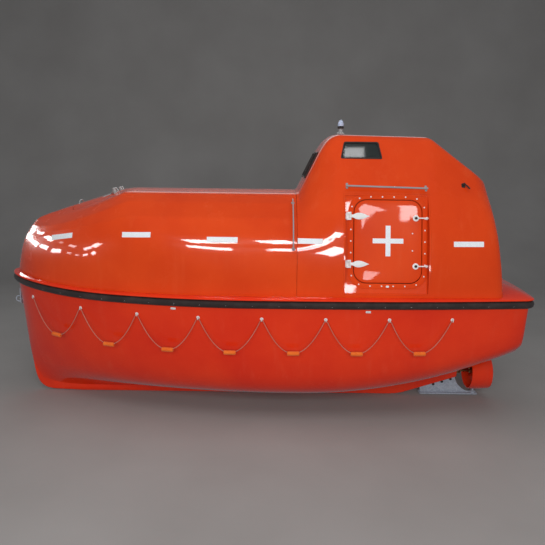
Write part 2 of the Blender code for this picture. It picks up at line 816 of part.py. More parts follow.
def hatch_frame(side, name):
    """The flat panel round the side hatch, with returns that reach out to the wheelhouse's skin."""
    outline = [
        (PANEL_X[0], 0.0),
        (PANEL_X[1], 0.0),
        (PANEL_X[1], PANEL_HEIGHT),
        (PANEL_X[0], PANEL_HEIGHT),
    ]
    frame = panel_prism(name, side, outline, -PANEL_THICK, 0.20, gelcoat())
    inner = [
        (PANEL_X[0] + PANEL_RIM, PANEL_RIM),
        (PANEL_X[1] - PANEL_RIM, PANEL_RIM),
        (PANEL_X[1] - PANEL_RIM, PANEL_HEIGHT - PANEL_RIM),
        (PANEL_X[0] + PANEL_RIM, PANEL_HEIGHT - PANEL_RIM),
    ]
    cut(frame, panel_prism("recess", side, inner, 0.0, 0.30, gelcoat()))
    trim(frame, outer_wheelhouse())
    opening = rounded_outline(
        (DOOR_X[0] - RUN, DOOR_X[1] + RUN), (DOOR_W[0] - RUN, DOOR_W[1] + RUN), DOOR_RADIUS + RUN
    )
    cut(frame, panel_prism("opening", side, opening, -0.10, 0.10, gelcoat()))
    for up in HINGE_W:
        for offset in (-0.035, 0.035):
            lug = [
                (HINGE_X - 0.020, up + offset - 0.0125),
                (HINGE_X + 0.008, up + offset - 0.0125),
                (HINGE_X + 0.008, up + offset + 0.0125),
                (HINGE_X - 0.020, up + offset + 0.0125),
            ]
            join(frame, panel_prism("lug", side, lug, -0.005, HINGE_OUT + HINGE_RADIUS, gelcoat()))
    return frame


def side_hatch(side, name):
    """The door leaf with its two hinge straps and two dog handles."""
    place = on_panel(side)
    outline = rounded_outline(DOOR_X, DOOR_W, DOOR_RADIUS)
    leaf = panel_prism(name, side, outline, DOOR_PROUD - DOOR_THICK, DOOR_PROUD, gelcoat())
    for up in HINGE_W:
        strap = [
            (HINGE_X, up - 0.021),
            (HINGE_X + 0.100, up - 0.026),
            (HINGE_X + 0.165, up),
            (HINGE_X + 0.100, up + 0.026),
            (HINGE_X, up + 0.021),
        ]
        low, high = HINGE_OUT - 0.006, HINGE_OUT
        join(leaf, panel_prism("strap", side, strap, low, high, gelcoat()))
        foot = [
            (DOOR_X[0] + 0.016, up - 0.018),
            (DOOR_X[0] + 0.100, up - 0.018),
            (DOOR_X[0] + 0.100, up + 0.018),
            (DOOR_X[0] + 0.016, up + 0.018),
        ]
        join(leaf, panel_prism("foot", side, foot, DOOR_PROUD - 0.004, low + 0.002, gelcoat()))
        low_end = place(HINGE_X, HINGE_OUT, up - BARREL_HALF)
        high_end = place(HINGE_X, HINGE_OUT, up + BARREL_HALF)
        join(leaf, keep("barrel", rod(low_end, high_end, HINGE_RADIUS), gelcoat()))
    for up in DOG_W:
        base = rod(place(DOG_X, DOOR_PROUD - 0.004, up), place(DOG_X, DOOR_PROUD + 0.034, up), 0.020, 16)
        join(leaf, keep("dog", base, gelcoat()))
        arm = [
            (DOG_X, up - 0.007),
            (DOG_X + DOG_REACH, up - 0.007),
            (DOG_X + DOG_REACH, up + 0.007),
            (DOG_X, up + 0.007),
        ]
        join(leaf, panel_prism("arm", side, arm, DOOR_PROUD + 0.016, DOOR_PROUD + 0.027, gelcoat()))
    put_origin(leaf, place(HINGE_X, HINGE_OUT, sum(HINGE_W) / 2))
    return leaf


BOW_HATCH_X = (-2.08, -1.60)
BOW_HATCH_HALF = 0.235
BOW_HINGE_X = -1.590
STRAP_STEP = 0.042  # from the bow hatch's hinge to where its straps meet the lid


def bow_hatch_solid(name, margin):
    """A rounded prism that cuts the bow hatch out of the fore canopy's slope."""
    outline = rounded_outline(
        (BOW_HATCH_X[0] - margin, BOW_HATCH_X[1] + margin),
        (-BOW_HATCH_HALF - margin, BOW_HATCH_HALF + margin),
        0.08 + margin,
    )
    fall = crown_height(BOW_HATCH_X[1]) - crown_height(BOW_HATCH_X[0])
    slope = fall / (BOW_HATCH_X[1] - BOW_HATCH_X[0])
    bm = prism(outline, 1.20, 2.00, lambda x, y, z: (x - (z - 1.60) * slope, y, z))
    return keep(name, bm, gelcoat())


def roof_z(x, y):
    """The outer surface of the fore canopy between its crown and its roof edge."""
    edge_y, edge_z = canopy_point(CANOPY_LINES[-1], x)
    crown = crown_height(x)
    return crown + (edge_z - crown) * abs(y) / edge_y


def bow_hatch():
    """The lid in the bow, of the same curve as the canopy round it, hinged on its aft edge."""
    bm, _ = loft(fore_rings(0.60), closed_ring=False)
    lid = thickened("bow_hatch", bm, gelcoat())
    trim(lid, bow_hatch_solid("bow_hatch_lid", 0.0))
    pivot = (BOW_HINGE_X, 0.0, crown_height(BOW_HINGE_X) + 0.016)
    for y in (-0.13, 0.13):
        barrel = rod((pivot[0], y - 0.022, pivot[2]), (pivot[0], y + 0.022, pivot[2]), 0.011)
        join(lid, keep("barrel", barrel, gelcoat()))
        tip_x = BOW_HINGE_X - 0.130
        outline = [
            (BOW_HINGE_X, pivot[2] - 0.008),
            (BOW_HINGE_X, pivot[2] + 0.002),
            (tip_x, roof_z(tip_x, 0.11) + 0.008),
            (tip_x, roof_z(tip_x, 0.15) - 0.006),
            (BOW_HINGE_X - STRAP_STEP, roof_z(BOW_HINGE_X - STRAP_STEP, 0.15) - 0.006),
            (BOW_HINGE_X - STRAP_STEP + 0.004, roof_z(BOW_HINGE_X, 0.11) + 0.006),
        ]
        strap = prism(outline, y - 0.018, y + 0.018, lambda x, z, level: (x, level, z))
        join(lid, keep("strap", strap, gelcoat()))
    put_origin(lid, pivot)
    return lid


AFT_HATCH_HALF = 0.300
AFT_HATCH_Z = (0.82, 1.62)
AFT_HATCH_RADIUS = 0.10
AFT_HINGE_Y = 0.330
AFT_HINGE_Z = (1.02, 1.42)


def aft_wall_x(z):
    """The outer face of the aft wall on the centreline."""
    station_x = WHEELHOUSE_STATIONS[-1][0]
    return station_x + WALL_SHELF + WALL_LEAN * (WALL_TOP_Z - z)


def aft_hatch_solid(name, margin, depth):
    """A rounded prism square to the aft wall, from which the aft hatch's hole or lid is made."""
    foot = Vector((aft_wall_x(AFT_HATCH_Z[0]), 0.0, AFT_HATCH_Z[0]))
    top = Vector((aft_wall_x(AFT_HATCH_Z[1]), 0.0, AFT_HATCH_Z[1]))
    tall = (top - foot).length
    reach = AFT_HATCH_HALF + margin
    outline = rounded_outline((-reach, reach), (-margin, tall + margin), AFT_HATCH_RADIUS)
    proud = depth / 2 if depth > 0.1 else 0.012
    return plane_prism(name, foot, (0.0, 1.0, 0.0), top - foot, outline, depth, gelcoat(), proud)


def aft_hatch():
    """The flat lid in the aft wall, hinged on its starboard side."""
    lid = aft_hatch_solid("aft_hatch", 0.0, 0.036)
    pivots = []
    for z in AFT_HINGE_Z:
        x = aft_wall_x(z) + 0.030
        pivots.append(Vector((x, AFT_HINGE_Y, z)))
        half = Vector((-WALL_LEAN, 0.0, 1.0)) * 0.022
        barrel = rod(pivots[-1] - half, pivots[-1] + half, HINGE_RADIUS)
        join(lid, keep("barrel", barrel, gelcoat()))
        strap = box((x - 0.022, 0.200, z - 0.018), (x + 0.004, AFT_HINGE_Y, z + 0.018))
        join(lid, keep("strap", strap, gelcoat()))
    put_origin(lid, pivots[0])
    return lid


# Fenders and deck-edge fittings

def fender_profile():
    """(outward, height) points of the rubber D-section."""
    middle = (FENDER_LOW_Z + FENDER_HIGH_Z) / 2
    half = (FENDER_HIGH_Z - FENDER_LOW_Z) / 2 - GAP
    return [
        (GAP, middle - half),
        (FENDER_WIDTH * 0.72, middle - half),
        (FENDER_WIDTH, middle - half * 0.45),
        (FENDER_WIDTH, middle + half * 0.45),
        (FENDER_WIDTH * 0.72, middle + half),
        (GAP, middle + half),
    ]


def side_fender(side, name):
    rings = []
    outlines = [(sheer_outline(out), z) for out, z in fender_profile()]
    count = len(outlines[0][0])
    for i in range(count):
        ring = []
        for outline, z in outlines:
            x, half = outline[i]
            half = max(half, GAP)
            ring.append((x, side * half, z + sheer_rise(x)))
        rings.append(ring)
    bm, rows = loft(rings)
    bm.faces.new(rows[0])
    bm.faces.new(rows[-1])
    return keep(name, closed(bm), black_rubber())


def stern_fender():
    """The fender across the transom, between the side fenders."""
    rings = []
    count = 13
    corner = line_point(SHEER_LINE, line_stations(SHEER_LINE, 2)[-1])[0]
    for i in range(count):
        y = corner * (2 * i / (count - 1) - 1)
        x = transom_surface_x(abs(y), corner)
        rings.append([(x + out, y, z) for out, z in fender_profile()])
    bm, rows = loft(rings)
    bm.faces.new(rows[0])
    bm.faces.new(rows[-1])
    return keep("fender_stern", closed(bm), black_rubber())


def transom_surface_x(y, corner):
    """The transom is flat strips from its corner to the centreline."""
    corner_x = TRANSOM_X - TRANSOM_ROUND * SHEER_LINE[4] ** 2
    return TRANSOM_X + (corner_x - TRANSOM_X) * y / corner


def bow_eye():
    """The painter's ring on the stem."""
    plate = box((-2.760, -0.024, 0.370), (-2.7485, 0.024, 0.560))
    eye = keep("bow_eye", plate, stainless())
    ring = turned(
        [(0.007 * math.cos(a), 0.032 + 0.007 * math.sin(a)) for a in [math.tau * k / 8 for k in range(8)]],
        (-2.781, 0.0, 0.430),
        (0.0, 1.0, 0.0),
        20,
    )
    join(eye, keep("ring", ring, stainless()))
    return eye


def loop_depth(part):
    """How far below its eyes a loop hangs: a bend over the eye, then a parabola."""
    from_eye = EYE_SPACING * min(part, 1 - part)
    if from_eye < TURN_REACH:
        return TURN_RADIUS - math.sqrt(TURN_RADIUS**2 - from_eye**2)
    turned = TURN_RADIUS - math.sqrt(TURN_RADIUS**2 - TURN_REACH**2)
    to_middle = (EYE_SPACING / 2 - from_eye) / (EYE_SPACING / 2 - TURN_REACH)
    return LOOP_DROP - (LOOP_DROP - turned) * to_middle**2


def rope_point(side, along):
    """A point on a lifeline, where along counts the eyes from the bow."""
    x = EYE_FIRST_X + EYE_SPACING * along
    z = EYE_Z + sheer_rise(x) - loop_depth(along - math.floor(along))
    return Vector((x, side * (hull_half_breadth(x, EYE_Z) + ROPE_OUT), z))


def lifeline(side, name):
    """The rope in its loops, with the floats threaded on it."""
    path = []
    for loop in range(EYE_COUNT - 1):
        for step in range(LOOP_STEPS):
            path.append(rope_point(side, loop + (1 - math.cos(math.pi * step / LOOP_STEPS)) / 2))
    path.append(rope_point(side, EYE_COUNT - 1))
    line = keep(name, tube(path, ROPE_DIAMETER / 2, 8), rope())
    for loop in range(EYE_COUNT - 1):
        middle = rope_point(side, loop + 0.5)
        along = rope_point(side, loop + 0.52) - rope_point(side, loop + 0.48)
        reach = along.normalized() * FLOAT_LENGTH / 2
        join(line, keep("float", rod(middle - reach, middle + reach, FLOAT_RADIUS, 12), rope()))
    return line


def lifeline_pegs():
    """Short pegs on the hull that carry the lifelines' loops."""
    pegs = bmesh.new()
    for side in (-1, 1):
        for eye in range(EYE_COUNT):
            top = rope_point(side, eye)
            top.z -= PEG_BELOW
            inner = abs(top.y) - ROPE_OUT - 0.030
            outer = abs(top.y) + 0.012
            low = (top.x - 0.004, min(side * inner, side * outer), top.z - 0.016)
            high = (top.x + 0.004, max(side * inner, side * outer), top.z)
            peg = bpy.data.meshes.new("peg")
            box(low, high).to_mesh(peg)
            pegs.from_mesh(peg)
    return keep("pegs", pegs, stainless())


def grab_rail(side, name):
    """The short bent rail where the fore canopy meets the wheelhouse."""
    feet, bends = [], []
    for index, out in ((6, 0.045), (5, 0.050), (4, 0.050), (3, 0.045)):
        y, z = CANOPY_LINES[index][2:4]
        turn = math.radians((35, 45, 60, 70)[6 - index])
        feet.append(Vector((GRAB_RAIL_X, side * (y + 0.004), z)))
        bends.append(Vector((GRAB_RAIL_X, side * (y + out * math.sin(turn)), z + out * math.cos(turn))))
    path = [feet[0]] + bends + [feet[-1]]
    return keep(name, tube(path, 0.008, 8), stainless())


def handrail(side, name):
    """The straight rail above the side hatch, on two feet."""
    low, high = (0.855, 1.645)
    z, y = 1.775, 0.765
    bar = keep(name, rod((low, side * y, z), (high, side * y, z), 0.010, 12), stainless())
    for x in (low + 0.02, high - 0.02):
        foot = rod((x, side * y, z), (x, side * (y - 0.034), z - 0.010), 0.009, 10)
        join(bar, keep("foot", foot, stainless()))
    return bar


def position_lamp():
    profile = [(0.0, 0.0), (0.0, 0.045), (0.020, 0.045), (0.024, 0.026), (0.060, 0.026), (0.062, 0.034)]
    profile += [(0.078, 0.034)]
    for k in range(1, 6):
        angle = math.pi / 2 * k / 6
        profile.append((0.100 + 0.050 * math.sin(angle), 0.032 * math.cos(angle)))
    profile.append((0.150, 0.0))
    return keep("position_lamp", turned(profile, (0.86, 0.0, 2.3170), (0, 0, 1), 20), stainless())


# Stern gear

def stern_tube():
    """The bearing that carries the shaft out of the keel's heel."""
    profile = [
        (-0.055, SHAFT_RADIUS + 0.003),
        (-0.055, 0.0345),
        (GAP, 0.0345),
        (GAP, 0.048),
        (0.030, 0.046),
        (0.046, 0.036),
        (0.046, SHAFT_RADIUS + 0.003),
    ]
    return keep("stern_tube", turned(profile, (HEEL_END_X, 0, SHAFT_Z), (1, 0, 0), 20), bronze())


def skeg_plate():
    """The steel heel that carries the nozzle's lower pin."""
    outline = [
        (1.900, KEEL_Z + 0.012),
        (1.900, -0.5735),
        (2.300, -0.4405),
        (2.320, -0.500),
        (2.350, -0.560),
        (2.400, -0.605),
        (2.460, -0.634),
        (2.500, KEEL_Z + 0.020),
        (2.500, KEEL_Z + 0.012),
    ]
    plate = keep("skeg_plate", prism(outline, -0.008, 0.008, lambda x, z, y: (x, y, z)), galvanised())
    flange = box((1.890, -0.050, KEEL_Z + 0.002), (2.575, 0.050, KEEL_Z + 0.014))
    join(plate, keep("flange", flange, galvanised()))
    boss = rod((PROPELLER_X, 0, KEEL_Z + 0.002), (PROPELLER_X, 0, KEEL_Z + 0.030), 0.030, 16)
    join(plate, keep("boss", boss, galvanised()))
    hole = rod((PROPELLER_X, 0, KEEL_Z - 0.01), (PROPELLER_X, 0, KEEL_Z + 0.05), PIN_RADIUS + 0.0015, 16)
    return cut(plate, keep("hole", hole, galvanised()))


def steering_nozzle():
    """A ring round the propeller that turns on its stock and its lower pin."""
    profile = [
        (-0.090, 0.201),
        (-0.084, 0.211),
        (0.000, NOZZLE_RADIUS),
        (0.147, 0.206),
        (0.147, 0.200),
        (0.000, NOZZLE_BORE),
        (-0.084, 0.194),
    ]
    centre = (PROPELLER_X, 0.0, SHAFT_Z)
    ring = keep("steering_nozzle", turned(profile, centre, (1, 0, 0), 40), hull_gelcoat())
    top, bottom = SHAFT_Z + 0.205, SHAFT_Z - 0.205
    stock = rod((PROPELLER_X, 0, top), (PROPELLER_X, 0, 0.150), STOCK_RADIUS, 16)
    join(ring, keep("stock", stock, galvanised()))
    pin = rod((PROPELLER_X, 0, KEEL_Z + 0.006), (PROPELLER_X, 0, bottom), PIN_RADIUS, 12)
    join(ring, keep("pin", pin, galvanised()))
    outline = [
        (0.105, -0.198),
        (0.140, -0.198),
        (0.200, -0.050),
        (0.200, 0.050),
        (0.140, 0.198),
        (0.105, 0.198),
    ]
    fin = prism(outline, -0.006, 0.006, lambda x, z, y: (PROPELLER_X + x, y, SHAFT_Z + z))
    join(ring, keep("fin", fin, hull_gelcoat()))
    put_origin(ring, centre)
    return ring


BLADE_SECTIONS = [
    # radius, chord, pitch in degrees
    (0.028, 0.060, 62),
    (0.080, 0.110, 48),
    (0.130, 0.120, 36),
    (PROPELLER_RADIUS, 0.060, 28),
]


def blade(angle):
    """One twisted propeller blade."""
    rings = []
    for radius, chord, pitch in BLADE_SECTIONS:
        thick = 0.010 - 0.035 * radius
        turn = math.radians(pitch)
        ring = []
        for across, out in ((-0.5, 0.0), (-0.2, 1.0), (0.2, 1.0), (0.5, 0.0), (0.2, -1.0), (-0.2, -1.0)):
            along = across * chord
            x = along * math.sin(turn) + out * thick / 2 * math.cos(turn)
            side = along * math.cos(turn) - out * thick / 2 * math.sin(turn)
            y = radius * math.cos(angle) - side * math.sin(angle)
            z = radius * math.sin(angle) + side * math.cos(angle)
            ring.append((PROPELLER_X + x, y, SHAFT_Z + z))
        rings.append(ring)
    bm, rows = loft(rings)
    bm.faces.new(rows[0])
    bm.faces.new(rows[-1])
    return keep("blade", closed(bm), bronze())


def propeller():
    """Three blades on a hub, with the length of shaft that carries it."""
    profile = [
        (HEEL_END_X - 0.050, 0.0),
        (HEEL_END_X - 0.050, SHAFT_RADIUS),
        (PROPELLER_X - 0.060, SHAFT_RADIUS),
        (PROPELLER_X - 0.055, 0.032),
        (PROPELLER_X + 0.045, 0.036),
        (PROPELLER_X + 0.075, 0.022),
        (PROPELLER_X + 0.085, 0.0),
    ]
    body = keep("propeller", turned(profile, (0, 0, SHAFT_Z), (1, 0, 0), 20), bronze())
    for k in range(3):
        join(body, blade(math.radians(90 + 120 * k)))
    put_origin(body, (PROPELLER_X, 0.0, SHAFT_Z))
    return body


# Inside the cabin

BENCH_X = (-1.30, 1.20)
BENCH_INNER_Y = 0.30
BENCH_TOP_Z = 0.12


def bench(side, name):
    """The long seat along one side, shaped to the well's wall."""
    rings = []
    for x in [x for x in WELL_STATIONS if BENCH_X[0] <= x <= BENCH_X[1]]:
        low_y = max(well_half_breadth(x, SOLE_Z) - 0.002, BENCH_INNER_Y + 0.02)
        mid_y = max(well_half_breadth(x, -0.10) - 0.002, BENCH_INNER_Y + 0.03)
        top_y = max(well_half_breadth(x, BENCH_TOP_Z) - 0.002, BENCH_INNER_Y + 0.04)
        section = [
            (BENCH_INNER_Y, SOLE_Z + GAP),
            (low_y, SOLE_Z + GAP),
            (mid_y, -0.10),
            (top_y, BENCH_TOP_Z),
            (BENCH_INNER_Y, BENCH_TOP_Z),
        ]
        rings.append([(x, side * y, z) for y, z in section])
    bm, rows = loft(rings)
    bm.faces.new(rows[0])
    bm.faces.new(rows[-1])
    return keep(name, closed(bm), lining())


def engine():
    return keep("engine", box((1.05, -0.27, SOLE_Z + GAP), (1.72, 0.27, 0.22)), engine_paint())


def helm_seat():
    """The helmsman's raised seat over the engine."""
    seat = keep("helm_seat", box((1.25, -0.24, 0.2203), (1.75, 0.24, 0.66)), lining())
    back = box((1.68, -0.22, 0.60), (1.75, 0.22, 1.15))
    return join(seat, keep("back", back, lining()))


def helm_console():
    """The helmsman's console under the front windows."""
    outline = [(0.62, SOLE_Z + GAP), (0.86, SOLE_Z + GAP), (0.86, 0.95), (0.62, 1.15)]
    return keep("helm_console", prism(outline, -0.26, 0.26, lambda x, z, y: (x, y, z)), lining())


def build():
    clear_scene()
    hull()
    fore_canopy()
    wheelhouse()
    bow_hatch()
    aft_hatch()
    for side, word in ((-1, "port"), (1, "starboard")):
        hatch_frame(side, f"hatch_frame_{word}")
        side_hatch(side, f"side_hatch_{word}")
        side_fender(side, f"fender_{word}")
        handrail(side, f"handrail_{word}")
        grab_rail(side, f"grab_rail_{word}")
        lifeline(side, f"lifeline_{word}")
        side_window_solid(f"side_window_{word}", side, WINDOW_PANE)
        front_window_solid(f"front_window_{word}", side, WINDOW_PANE)
        bench(side, f"bench_{word}")
    aft_window_solid("aft_window", WINDOW_PANE)
    stern_fender()
    bow_eye()
    position_lamp()
    stern_tube()
    skeg_plate()
    steering_nozzle()
    propeller()
    engine()
    helm_seat()
    helm_console()


build()
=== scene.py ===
# Looks of the totally enclosed lifeboat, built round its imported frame.
# Metres. +X points aft, +Y to starboard and +Z up; the origin lies at the waterline amidships.

import math

import bmesh
import bpy
import numpy as np
from mathutils import Matrix, Vector
from mathutils.bvhtree import BVHTree


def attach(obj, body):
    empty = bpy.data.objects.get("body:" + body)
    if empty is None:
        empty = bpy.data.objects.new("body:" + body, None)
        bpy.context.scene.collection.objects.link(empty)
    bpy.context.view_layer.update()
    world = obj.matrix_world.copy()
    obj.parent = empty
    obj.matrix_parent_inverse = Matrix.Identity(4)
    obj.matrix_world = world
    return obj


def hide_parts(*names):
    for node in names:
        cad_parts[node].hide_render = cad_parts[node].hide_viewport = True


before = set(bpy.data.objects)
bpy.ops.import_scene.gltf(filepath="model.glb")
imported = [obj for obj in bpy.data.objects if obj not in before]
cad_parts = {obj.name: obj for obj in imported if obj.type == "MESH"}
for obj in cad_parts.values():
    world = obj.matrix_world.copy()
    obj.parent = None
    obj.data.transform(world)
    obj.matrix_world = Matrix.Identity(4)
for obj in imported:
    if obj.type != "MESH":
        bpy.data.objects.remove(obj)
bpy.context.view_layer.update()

SIDES = ((-1, "port"), (1, "starboard"))

# Camera, as the photograph was taken: 545 pixels square, a focal length of 575 of them
PHOTO_SIDE = 545
FOCAL_PIXELS = 575
SENSOR = 36.0
CAMERA_PLACE = (0.137, -6.448, 2.023)
CAMERA_PITCH = math.radians(79.0)
CAMERA_ROLL = math.radians(0.7)


def make_camera():
    data = bpy.data.cameras.new("camera")
    data.sensor_width = SENSOR
    data.lens = SENSOR * FOCAL_PIXELS / PHOTO_SIDE
    camera = bpy.data.objects.new("camera", data)
    turn = Matrix.Rotation(CAMERA_PITCH, 4, "X") @ Matrix.Rotation(CAMERA_ROLL, 4, "Z")
    camera.matrix_world = Matrix.Translation(CAMERA_PLACE) @ turn
    bpy.context.collection.objects.link(camera)
    bpy.context.scene.camera = camera


make_camera()

# Form of the hull

KEEL_Z = -0.660
DECK_Z = 0.722
FENDER_LOW_Z = 0.620
FENDER_HIGH_Z = 0.700
FENDER_WIDTH = 0.050
LIP_WIDTH = 0.045
SHEER_RISE = 0.060
SHEER_RISE_LENGTH = 1.30
BOW_X = -2.750
TRANSOM_X = 2.750
TRANSOM_ROUND = 0.070
CORNER_RADIUS = 0.055  # between the side and the transom
RISE_START_X = 0.40
RISE_POWER = 2.1
TAPER_START_X = 0.30
TAPER_POWER = 2.2
WELL_WALL = 0.130
SOLE_Z = -0.300
SOLE_RISE_X = 1.75
SOLE_SLOPE = 0.40
SHEER_FOLLOWS_Z = 0.5  # lines above it rise with the deck edge
PROPELLER_X = 2.530
SHAFT_Z = -0.375

# One row per line that runs from the stem to the transom, from the keel up.
HULL_LINES = [
    # stem_x, stem_z, mid_y, mid_z, stern_y, stern_z, nose, power, blunt
    (-2.470, -0.630, 0.040, -0.590, 0.040, 0.010, 2.90, 1.7, 1.0),
    (-2.600, -0.545, 0.330, -0.520, 0.300, 0.035, 2.90, 1.7, 1.0),
    (-2.640, -0.430, 0.590, -0.440, 0.520, 0.070, 2.90, 1.8, 0.90),
    (-2.668, -0.290, 0.770, -0.340, 0.690, 0.125, 2.90, 1.9, 0.85),
    (-2.690, -0.130, 0.880, -0.200, 0.822, 0.215, 2.85, 1.9, 0.80),
    (-2.708, 0.060, 0.945, -0.010, 0.868, 0.320, 2.80, 1.9, 0.74),
    (-2.726, 0.310, 1.005, 0.280, 0.897, 0.460, 2.75, 1.9, 0.67),
    (BOW_X, 0.600, 1.060, 0.600, 0.925, 0.600, 2.70, 1.9, 0.60),
    (BOW_X, FENDER_HIGH_Z, 1.060, FENDER_HIGH_Z, 0.925, FENDER_HIGH_Z, 2.70, 1.9, 0.60),
]


def sheer_rise(x):
    """How much higher the deck edge is at x than amidships."""
    ahead = max(0.0, 1.0 - (x - BOW_X) / SHEER_RISE_LENGTH)
    return SHEER_RISE * ahead * ahead


def line_point(line, x):
    """Half-breadth and height of a hull line at x."""
    stem_x, stem_z, mid_y, mid_z, stern_y, stern_z, nose, power, blunt = line
    ahead = min(1.0, max(0.0, 1.0 - (x - stem_x) / nose))
    half = mid_y * (1.0 - ahead**power) ** blunt
    height = mid_z + (stem_z - mid_z) * ahead**3
    aft = max(0.0, (x - TAPER_START_X) / (TRANSOM_X - TAPER_START_X))
    half += (stern_y - mid_y) * aft**TAPER_POWER
    rise = max(0.0, (x - RISE_START_X) / (TRANSOM_X - RISE_START_X))
    height += (stern_z - mid_z) * rise**RISE_POWER
    if mid_z > SHEER_FOLLOWS_Z:
        height += sheer_rise(x)
    return half, height


def hull_half_breadth(x, z):
    points = [line_point(line, x) for line in HULL_LINES]
    if z >= points[-1][1]:
        return points[-1][0]
    for low, high in zip(points, points[1:]):
        if low[1] <= z <= high[1]:
            part = (z - low[1]) / (high[1] - low[1])
            return low[0] + (high[0] - low[0]) * part
    return points[0][0]


# Lifelines: one rope a side in seven loops, which the frame's solids stand for

EYE_COUNT = 8
EYE_FIRST_X = -2.456
EYE_SPACING = 0.6234
EYE_Z = 0.500
LOOP_DROP = 0.330
TURN_RADIUS = 0.018  # of the rope's bend over an eye
TURN_REACH = 0.0163  # from the eye to where that bend ends
ROPE_DIAMETER = 0.008
ROPE_OUT = 0.024
ROPE_STEPS = 150  # points of the path in each loop
RING_STEP = 0.0024  # between the rope's rings
ROPE_SIDES = 12
STRANDS = 3
STRAND_LAY = 0.036  # length in which the strands turn once
STRAND_DEPTH = 0.16  # of the grooves between them, as a share of the radius
FLOAT_LENGTH = 0.122
FLOAT_RADIUS = 0.022
FLOAT_ROUND = 0.55  # share of its radius that its ends round off
FLOAT_STEPS = 6
FLOAT_PLAY = 0.0005  # between the rope and the float


def loop_depth(part):
    """How far below its eyes a loop hangs: a bend over the eye, then a parabola."""
    from_eye = EYE_SPACING * min(part, 1 - part)
    if from_eye < TURN_REACH:
        return TURN_RADIUS - math.sqrt(TURN_RADIUS**2 - from_eye**2)
    turned = TURN_RADIUS - math.sqrt(TURN_RADIUS**2 - TURN_REACH**2)
    to_middle = (EYE_SPACING / 2 - from_eye) / (EYE_SPACING / 2 - TURN_REACH)
    return LOOP_DROP - (LOOP_DROP - turned) * to_middle**2


def rope_point(side, along):
    """A point on a lifeline, where along counts the eyes from the bow."""
    x = EYE_FIRST_X + EYE_SPACING * along
    z = EYE_Z + sheer_rise(x) - loop_depth(along - math.floor(along))
    return Vector((x, side * (hull_half_breadth(x, EYE_Z) + ROPE_OUT), z))


# Making meshes

# The slot name of a finish whose name is another
SLOTS = {
    "polished_steel": "stainless_steel",
    "propeller_bronze": "bronze",
    "reflective_tape": "canopy_gelcoat",
    "float_foam": "lifeline_rope",
    "lamp_lens": "lamp_glass",
}
WELD = 0.00002  # points nearer than this become one
FINE_WELD = 0.000001
BEVEL_SEGMENTS = 2


def shade(piece, angle):
    """Smooth the faces that meet flatter than an angle."""
    piece.data.shade_smooth()
    piece.data.set_sharp_from_angle(angle=math.radians(angle))
    return piece


def object_of(name, bm, finish, angle):
    mesh = bpy.data.meshes.new(name)
    bm.to_mesh(mesh)
    bm.free()
    mesh.materials.append(finish)
    made = bpy.data.objects.new(name, mesh)
    bpy.context.collection.objects.link(made)
    return shade(made, angle)


def weld(bm, merge, thin):
    """Join near points, drop slivers and turn the faces outwards."""
    bmesh.ops.remove_doubles(bm, verts=bm.verts, dist=merge)
    bmesh.ops.dissolve_degenerate(bm, dist=thin, edges=bm.edges)
    bmesh.ops.recalc_face_normals(bm, faces=bm.faces)


def from_bmesh(name, bm, finish, angle=35, merge=WELD):
    weld(bm, merge, merge)
    return object_of(name, bm, finish, angle)


def skin(bm, rows, wrap=False):
    """Add a grid of faces through rows of points, and return its vertices."""
    grid = [[bm.verts.new(point) for point in row] for row in rows]
    count = len(grid[0])
    last = count if wrap else count - 1
    for here, following in zip(grid, grid[1:]):
        for k in range(last):
            m = (k + 1) % count
            bm.faces.new((here[k], following[k], following[m], here[m]))
    return grid


def close_ends(bm, grid):
    bm.faces.new(grid[0])
    bm.faces.new(reversed(grid[-1]))


def apply_modifiers(piece):
    graph = bpy.context.evaluated_depsgraph_get()
    mesh = bpy.data.meshes.new_from_object(piece.evaluated_get(graph))
    piece.modifiers.clear()
    piece.data = mesh
    return piece


def bevel(piece, width, angle, segments=BEVEL_SEGMENTS):
    """Round the edges of a piece that are sharper than an angle."""
    modifier = piece.modifiers.new("round", "BEVEL")
    modifier.width = width
    modifier.segments = segments
    modifier.limit_method = "ANGLE"
    modifier.angle_limit = math.radians(angle)
    return apply_modifiers(piece)


def boolean(piece, other, operation):
    modifier = piece.modifiers.new("boolean", "BOOLEAN")
    modifier.operation = operation
    modifier.solver = "EXACT"
    modifier.object = other
    apply_modifiers(piece)
    bpy.data.objects.remove(other, do_unlink=True)


def cut(piece, other):
    boolean(piece, other, "DIFFERENCE")


def show(piece, body, *nodes, slot):
    """A finished piece rides on its body, and stands for the nodes it replaces."""
    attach(piece, body)
    if nodes:
        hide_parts(*nodes)
    return piece


def piece_of(name, bm, finish, body, *nodes, angle=40, rounding=None, slot=None, merge=WELD):
    """A shown piece made of a bmesh, its edges rounded where rounding gives a width and an angle."""
    made = from_bmesh(name, bm, finish, angle, merge)
    if rounding:
        made = shade(bevel(made, *rounding), angle)
    own = finish.name.split(".")[0]  # without the number that Blender adds to a name the frame has
    return show(made, body, *nodes, slot=slot or SLOTS.get(own, own))


def catmull(points, steps):
    """A smooth curve through points, with steps between each two."""
    path = [Vector(p) for p in points]
    ends = [path[0] * 2 - path[1]] + path + [path[-1] * 2 - path[-2]]
    made = []
    for i in range(1, len(path)):
        a, b, c, d = ends[i - 1 : i + 3]
        for k in range(steps):
            t = k / steps
            point = 2 * b + (c - a) * t
            point += (2 * a - 5 * b + 4 * c - d) * t**2
            point += (3 * b - a - 3 * c + d) * t**3
            made.append(0.5 * point)
    made.append(path[-1])
    return made


def flat_curve(points, steps):
    """The same for points of two coordinates."""
    return [(p.x, p.y) for p in catmull([(a, b, 0) for a, b in points], steps)]


def circle(radius, count):
    turns = [math.tau * k / count for k in range(count)]
    return [(radius * math.cos(turn), radius * math.sin(turn)) for turn in turns]


def direction_at(path, i):
    """The direction of an open path at one of its points."""
    return (path[min(i + 1, len(path) - 1)] - path[max(i - 1, 0)]).normalized()


